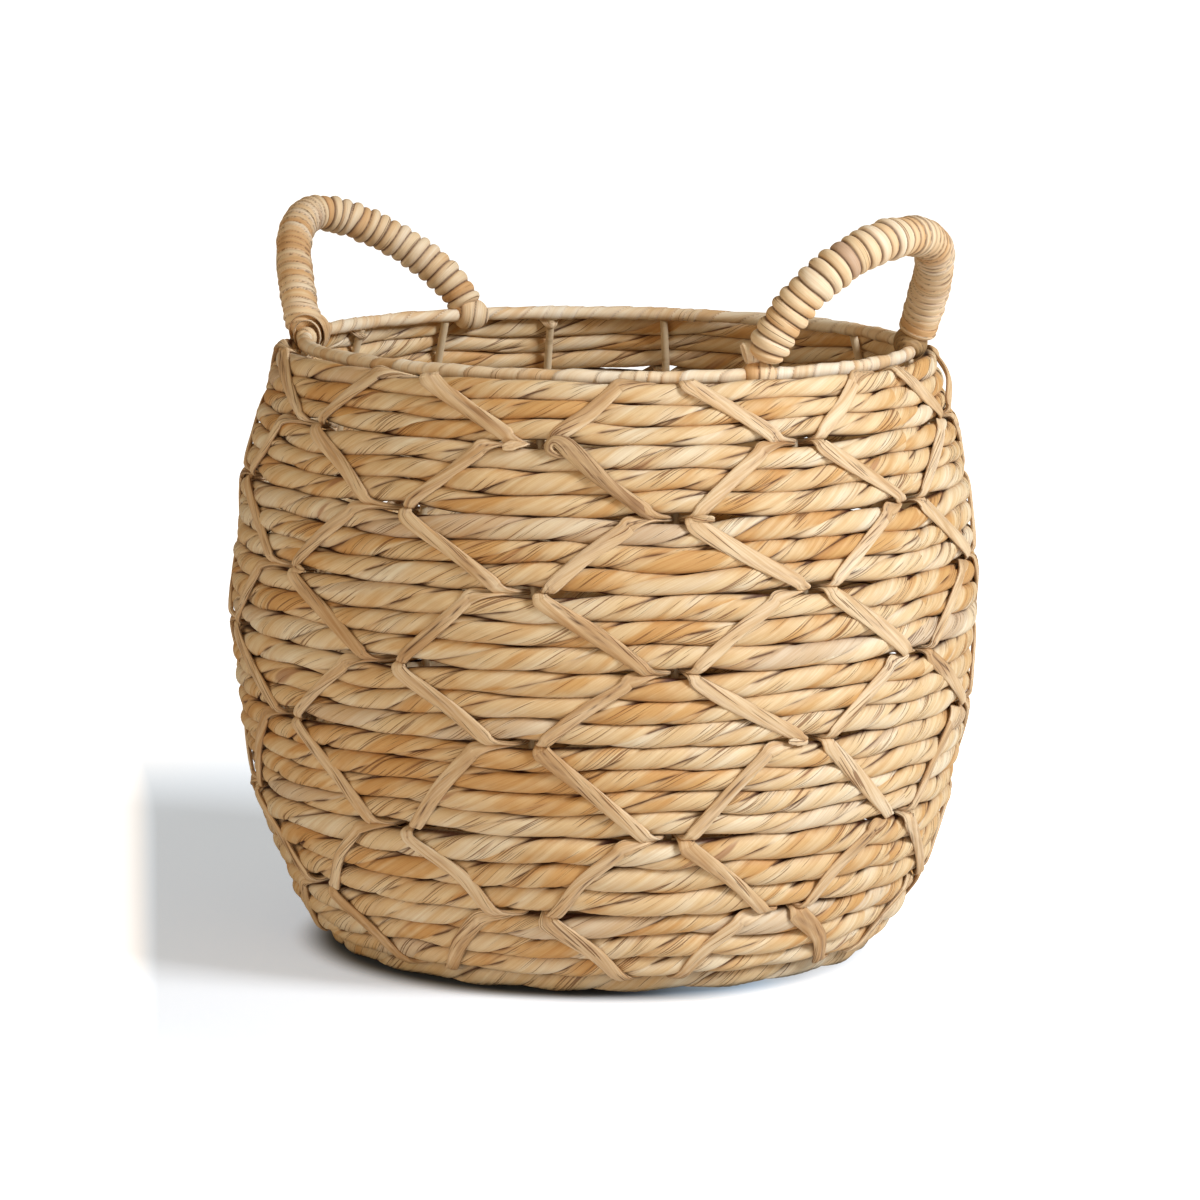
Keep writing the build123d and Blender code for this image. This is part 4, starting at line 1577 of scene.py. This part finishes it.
@dataclass
class Base:
    """The edge cord and the flat coil that the basket stands on."""

    wall: Wall
    lacing: Lacing
    twist: TwistedCord = field(default_factory=TwistedCord)
    edge_twists: int = 10  # whole turns of the edge cord's twist round the basket
    coil_lay: float = 0.095  # the length of one turn of the coil's twist
    seed: int = 71

    def build(self, dressing: Dressing) -> None:
        """Build the edge cord and the coil."""
        self._edge(dressing)
        self._coil(dressing)

    def _edge(self, dressing: Dressing) -> None:
        """Build the edge cord on the wall's last place."""
        rng = np.random.default_rng(self.seed)
        rows = 420
        azimuth = np.arange(rows + 1) * tau / rows
        half = self.wall.halves[-1]
        middle = self.wall.lengths[-1] + 0.3 * MM * ring_noise(azimuth, rng, 3, 9)
        wave = 1 + 0.04 * ring_noise(azimuth, rng, 4, 20)
        out = self.wall.upright_half + half + 0 * azimuth
        turn = self.edge_twists * azimuth + rng.uniform(0, tau) + 0.3 * ring_noise(azimuth, rng, 2, 7)
        skin = cord_skin("edge_cord_twisted", self.twist, self.wall, azimuth, middle, out,
                         half * wave * 1.03, half * wave, turn, 0 * azimuth, rng)
        # Its own weight presses the lower half down to the floor
        low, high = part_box("edge_cord")
        centre = (low.z + high.z) / 2
        down = centre - skin.points[..., 2]
        stretch = (centre - 0.4 * MM) / (centre - low.z)
        skin.points[..., 2] = centre - np.where(down > 0, down * stretch, down)
        dressing.finish(skin.build(), "cord", "leaf_cord", ("edge_cord",))

    def _coil(self, dressing: Dressing) -> None:
        """Build the flat coil as one cord, wound inward from the edge."""
        rng = np.random.default_rng(self.seed + 1)
        low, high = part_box("base_coil")
        half = (high.z - low.z) / 2
        turns = high.x / (2 * half) - 0.5
        steps = 1500
        share = np.linspace(0, 1, steps) ** 0.62
        turned = share * turns * tau
        reach = (high.x - half) - turned / tau * 2 * half
        radius = np.maximum(reach, 0.6 * MM)
        line = np.stack([radius * np.cos(turned), radius * np.sin(turned), np.full(steps, half)], axis=-1)
        forward = unit(np.gradient(line, axis=0))
        outward = np.stack([np.cos(turned), np.sin(turned), np.zeros(steps)], axis=-1)
        outward = unit(outward - forward * (outward * forward).sum(-1, keepdims=True))
        run = np.concatenate([[0], np.cumsum(np.linalg.norm(np.diff(line, axis=0), axis=1))])
        angle, section, hollow = self.twist.section()
        sunk, crest = self.twist.crease(angle, hollow, turned / turns, rng)
        around = angle[None, :] + (run / self.coil_lay * tau)[:, None]
        pressed = (section[None, :] - sunk) * self.twist.pressed(around) * half
        points = (
            line[:, None, :]
            + (np.cos(around) * pressed * 1.02)[:, :-1, None] * outward[:, None, :]
            + (np.sin(around) * pressed * 0.97)[:, :-1, None] * np.array([0, 0, 1.0])
        )
        points[..., 2] = np.clip(points[..., 2], 0.2 * MM, None)
        rows = np.concatenate([np.arange(steps), [steps - 1]])
        along = np.repeat(run[rows][:, None], angle.size, axis=1)
        across = angle[None, :] * half - self.twist.fibre_slant * along
        tone = leaf_tones(turned / turns, angle, 0.02, rng)[rows]
        # Painted shade: the crest value falls in the grooves and where the coil's turns press on each other
        # and the floor
        painted_shade_mask = crest[rows] * np.clip(1.3 - np.abs(np.cos(around[rows])) ** 6, 0, 1)
        skin = Skin("base_coil_wound", points, along, across, tone, painted_shade_mask, closed=False, bake_rows=12)
        dressing.finish(skin.build(), "cord", "leaf_cord", ("base_coil",))


@dataclass
class WireFrame:
    """The welded steel frame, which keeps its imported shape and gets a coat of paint."""

    nodes: tuple[str, ...] = (
        "frame_rim_ring", "frame_base_ring", "frame_base_cross", "frame_uprights",
        "handle_right_core", "handle_left_core",
    )

    def build(self, dressing: Dressing) -> None:
        """Paint every wire."""
        for name in self.nodes:
            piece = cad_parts[name]
            piece.data.materials.clear()
            piece.data.materials.append(dressing.materials["wire"])
            for polygon in piece.data.polygons:
                polygon.use_smooth = True
            log.info("%s: painted", name)


# ---------------------------------------------------------------------------------------------------
# The studio
# ---------------------------------------------------------------------------------------------------

@dataclass
class Studio:
    """A white floor, soft lamps and the camera."""

    camera_distance: float = 2.76
    camera_height: float = 0.5967
    camera_azimuth: float = 33.75  # degrees from -Y towards +X
    pitch: float = 8.763  # degrees below the level
    roll: float = 0.71
    aside: float = 3.6 * MM  # how far the basket's axis stands right of the camera's middle plane
    lens: float = 167.8
    shift_x: float = 0.0025
    contact: float = 0.140  # from the middle, where the darkest shadow, partly painted into the floor's colour, ends
    white_starts: tuple[float, float] = (-0.010, 0.014)  # from the contact, where the painted shadow gives way to the white floor
    glow_starts: tuple[float, float] = (-0.006, 0.018)  # from the contact, where its least glow comes in
    painted_contact_shadow: Colour = (0.12, 0.14, 0.17)  # a shadow painted into the floor under the basket
    white_floor: Colour = (0.9, 0.9, 0.9)
    glow_near: float = 0.36  # where it begins to rise over the rest of the shadow
    glow_far: float = 0.82
    glow_least: float = 0.34
    glow_white: float = 0.7  # how strong it is where it has lost its cool tint
    nearness: float = 0.45  # how much sooner it rises on the camera's side
    # Where painted glow fades the shadow out on the left and on the right, as slopes from the camera
    shadow_ends: tuple[tuple[float, float], ...] = ((0.074, 0.091), (0.0, 0.062))
    sky: float = 0.24
    warm: Colour = (1.0, 0.82, 0.60)  # the light that the room throws back
    cool: Colour = (0.83, 1.01, 1.19)  # a cool tint painted into the floor's glow to balance the warm light on it
    daylight: Colour = (0.945, 1.0, 1.08)  # the key lamp's light

    def build(self) -> None:
        """Set up the camera, the floor, the lamps and the world."""
        self._camera()
        self._floor()
        self._lamps()
        self._world()

    def _camera(self) -> None:
        """Place the camera."""
        turn = radians(self.camera_azimuth)
        right = Vector((cos(turn), sin(turn), 0))
        toward = Vector((-sin(turn), cos(turn), 0))
        data = bpy.data.cameras.new("Camera")
        data.lens = self.lens
        data.sensor_width = 36
        data.shift_x = self.shift_x
        data.clip_end = 50
        camera = bpy.data.objects.new("Camera", data)
        bpy.context.scene.collection.objects.link(camera)
        down = radians(self.pitch)
        look = (toward * cos(down) - Vector((0, 0, sin(down)))).normalized()
        up = right.cross(look)
        tilt = Matrix.Rotation(radians(-self.roll), 3, look)
        right, up = tilt @ right, tilt @ up
        place = -toward * self.camera_distance - Vector((cos(turn), sin(turn), 0)) * self.aside
        place.z = self.camera_height
        basis = Matrix((right, up, -look)).transposed().to_4x4()
        camera.matrix_world = Matrix.Translation(place) @ basis
        bpy.context.scene.camera = camera

    def _floor(self) -> None:
        """Lay the floor, which keeps the basket's shadow and shows white to the camera through a painted
        glow, with a shadow painted under the basket's edge.
        """
        size = 14.0
        mesh = bpy.data.meshes.new("Floor")
        corners = [(-size, -size, 0), (size, -size, 0), (size, size, 0), (-size, size, 0)]
        mesh.from_pydata(corners, [], [(0, 1, 2, 3)])
        floor = bpy.data.objects.new("Floor", mesh)
        bpy.context.scene.collection.objects.link(floor)
        material = bpy.data.materials.new("White floor")
        material.use_nodes = True
        nodes = Nodes(material.node_tree)
        shader = material.node_tree.nodes["Principled BSDF"]
        shader.inputs["Roughness"].default_value = 0.9
        shader.inputs["Specular IOR Level"].default_value = 0.0
        path = nodes.add("ShaderNodeLightPath")
        glow = nodes.add("ShaderNodeEmission")
        place = nodes.add("ShaderNodeTexCoord").outputs["Object"]
        away = nodes.add("ShaderNodeVectorMath", operation="LENGTH")
        nodes.join(place, away.inputs[0])
        # Painted light: the floor glows for the camera alone; the glow lifts the shadow, comes in past the
        # contact, rises to white away from the basket and fades the shadow out at its ends
        glow_first, glow_last = (self.contact + step for step in self.glow_starts)
        least = nodes.scaled(away.outputs["Value"], glow_first, glow_last, 0.0, self.glow_least)
        # Painted shadow: the floor's own colour turns dark near the basket's edge
        white_first, white_last = (self.contact + step for step in self.white_starts)
        whiteness = nodes.scaled(away.outputs["Value"], white_first, white_last)
        nodes.join(nodes.blend(whiteness, self.painted_contact_shadow, self.white_floor), shader.inputs["Base Color"])
        turn = radians(self.camera_azimuth)
        aside, back = (nodes.add("ShaderNodeVectorMath", operation="DOT_PRODUCT") for _ in range(2))
        for part, way in ((aside, (cos(turn), sin(turn), 0)), (back, (-sin(turn), cos(turn), 0))):
            nodes.join(place, part.inputs[0])
            part.inputs[1].default_value = way
        near = nodes.maths("MULTIPLY", nodes.maths("MINIMUM", back.outputs["Value"], 0.0), self.nearness)
        reach = nodes.maths("SUBTRACT", away.outputs["Value"], near)
        lift = nodes.scaled(reach, self.glow_near, self.glow_far, least, 1.0)
        depth = nodes.maths("ADD", back.outputs["Value"], self.camera_distance)
        slope = nodes.maths("DIVIDE", aside.outputs["Value"], depth)
        for sign, (first, last) in zip((-1, 1), self.shadow_ends):
            end = nodes.scaled(nodes.maths("MULTIPLY", slope, sign), first, last)
            lift = nodes.maths("MAXIMUM", lift, end)
        whitened = nodes.scaled(lift, self.glow_least, self.glow_white)
        nodes.join(nodes.blend(whitened, self.cool, (1.0, 1.0, 1.0)), glow.inputs["Color"])
        nodes.join(nodes.maths("MULTIPLY", path.outputs["Is Camera Ray"], lift), glow.inputs["Strength"])
        both = nodes.add("ShaderNodeAddShader")
        nodes.join(shader.outputs["BSDF"], both.inputs[0])
        nodes.join(glow.outputs["Emission"], both.inputs[1])
        nodes.join(both.outputs[0], material.node_tree.nodes["Material Output"].inputs["Surface"])
        floor.data.materials.append(material)

    def _lamp(self, name: str, place: Vector, aim: Vector, size: float, power: float, tint: Colour) -> None:
        """Hang one soft lamp.

        Args:
            name: The lamp's name.
            place: Where it hangs.
            aim: What it points at.
            size: Its width and height.
            power: Its power in watts.
            tint: Its colour.
        """
        data = bpy.data.lights.new(name, "AREA")
        data.shape = "SQUARE"
        data.size = size
        data.energy = power
        data.color = tint
        lamp = bpy.data.objects.new(name, data)
        bpy.context.scene.collection.objects.link(lamp)
        facing = (aim - place).to_track_quat("-Z", "Y").to_matrix().to_4x4()
        lamp.matrix_world = Matrix.Translation(place) @ facing

    def _lamps(self) -> None:
        """Hang the key lamp high on the right, and a weak one low on the left to fill its shadows."""
        turn = radians(self.camera_azimuth)
        right = Vector((cos(turn), sin(turn), 0))
        near = Vector((sin(turn), -cos(turn), 0))
        aim = Vector((0, 0, 0.16))
        self._lamp("Key", right * 1.75 + near * 1.05 + Vector((0, 0, 1.38)), aim, 0.75, 53, self.daylight)
        self._lamp("Fill", near * 2.0 - right * 1.5 + Vector((0, 0, 0.7)), aim, 1.6, 18.5, self.warm)

    def _world(self) -> None:
        """Fill the shadows softly, and show white behind the basket."""
        world = bpy.data.worlds.new("Studio")
        bpy.context.scene.world = world
        world.use_nodes = True
        nodes = Nodes(world.node_tree)
        back = world.node_tree.nodes["Background"]
        path = nodes.add("ShaderNodeLightPath")
        seen = nodes.maths("MAXIMUM", path.outputs["Is Camera Ray"], path.outputs["Is Transmission Ray"])
        nodes.join(nodes.blend(seen, self.warm, (1.0, 1.0, 1.0)), back.inputs["Color"])
        lift = nodes.maths("MULTIPLY", seen, 1 - self.sky)
        nodes.join(nodes.maths("ADD", lift, self.sky), back.inputs["Strength"])
        bpy.context.scene.view_settings.view_transform = "Standard"


def main() -> None:
    """Build the basket and its studio, in order."""
    logging.basicConfig(level=logging.INFO, format="%(name)s %(message)s")
    Studio().build()
    wall = Wall()
    lacing = Lacing(wall)
    dressing = Dressing()
    WireFrame().build(dressing)
    WallCords(wall, lacing).build(dressing)
    Base(wall, lacing).build(dressing)
    LashingNet(wall, lacing).build(dressing)
    LooseEnds(wall, lacing).build(dressing)
    Rim().build(dressing)
    knot = Band(along=3.5, up=10.5, half_height=4.6, half_width=2.2, width=8, slant=3)
    loop = Band(along=-5.5, up=1.6, half_height=10.0, half_width=8.6, width=14, slant=9)
    fold = Band(along=-2.5, up=1.0, half_height=7.6, half_width=6.4, width=12, slant=6)
    Handle(
        side="right", heading=0.0, lean=radians(29.2), power=2.25, height=72 * MM, bow=-3.8 * MM,
        askew=1.9 * MM, thickness=18.9 * MM, plump_end=0,
        front=Tie(reach=7.5, swell=2.6, pitch=6.5, finish="handle", bands=(knot,)),
        back=Tie(reach=8.5, swell=4.0, lift=4.0, pitch=1.9, plump=0.7, finish="twine"),
        seed=91, dark=10.2,
    ).build(dressing)
    Handle(
        side="left", heading=pi, lean=radians(41.6), power=1.70, height=73.1 * MM, bow=-5.8 * MM,
        askew=1.0 * MM, thickness=17.4 * MM, plump_end=1,
        front=Tie(reach=8.5, swell=1.6, pitch=7.0, finish="handle", bands=(loop, fold)),
        back=Tie(reach=8.5, swell=3.8, pitch=9.0, finish="handle"),
        seed=92,
    ).build(dressing)


if __name__ == "__main__":
    main()
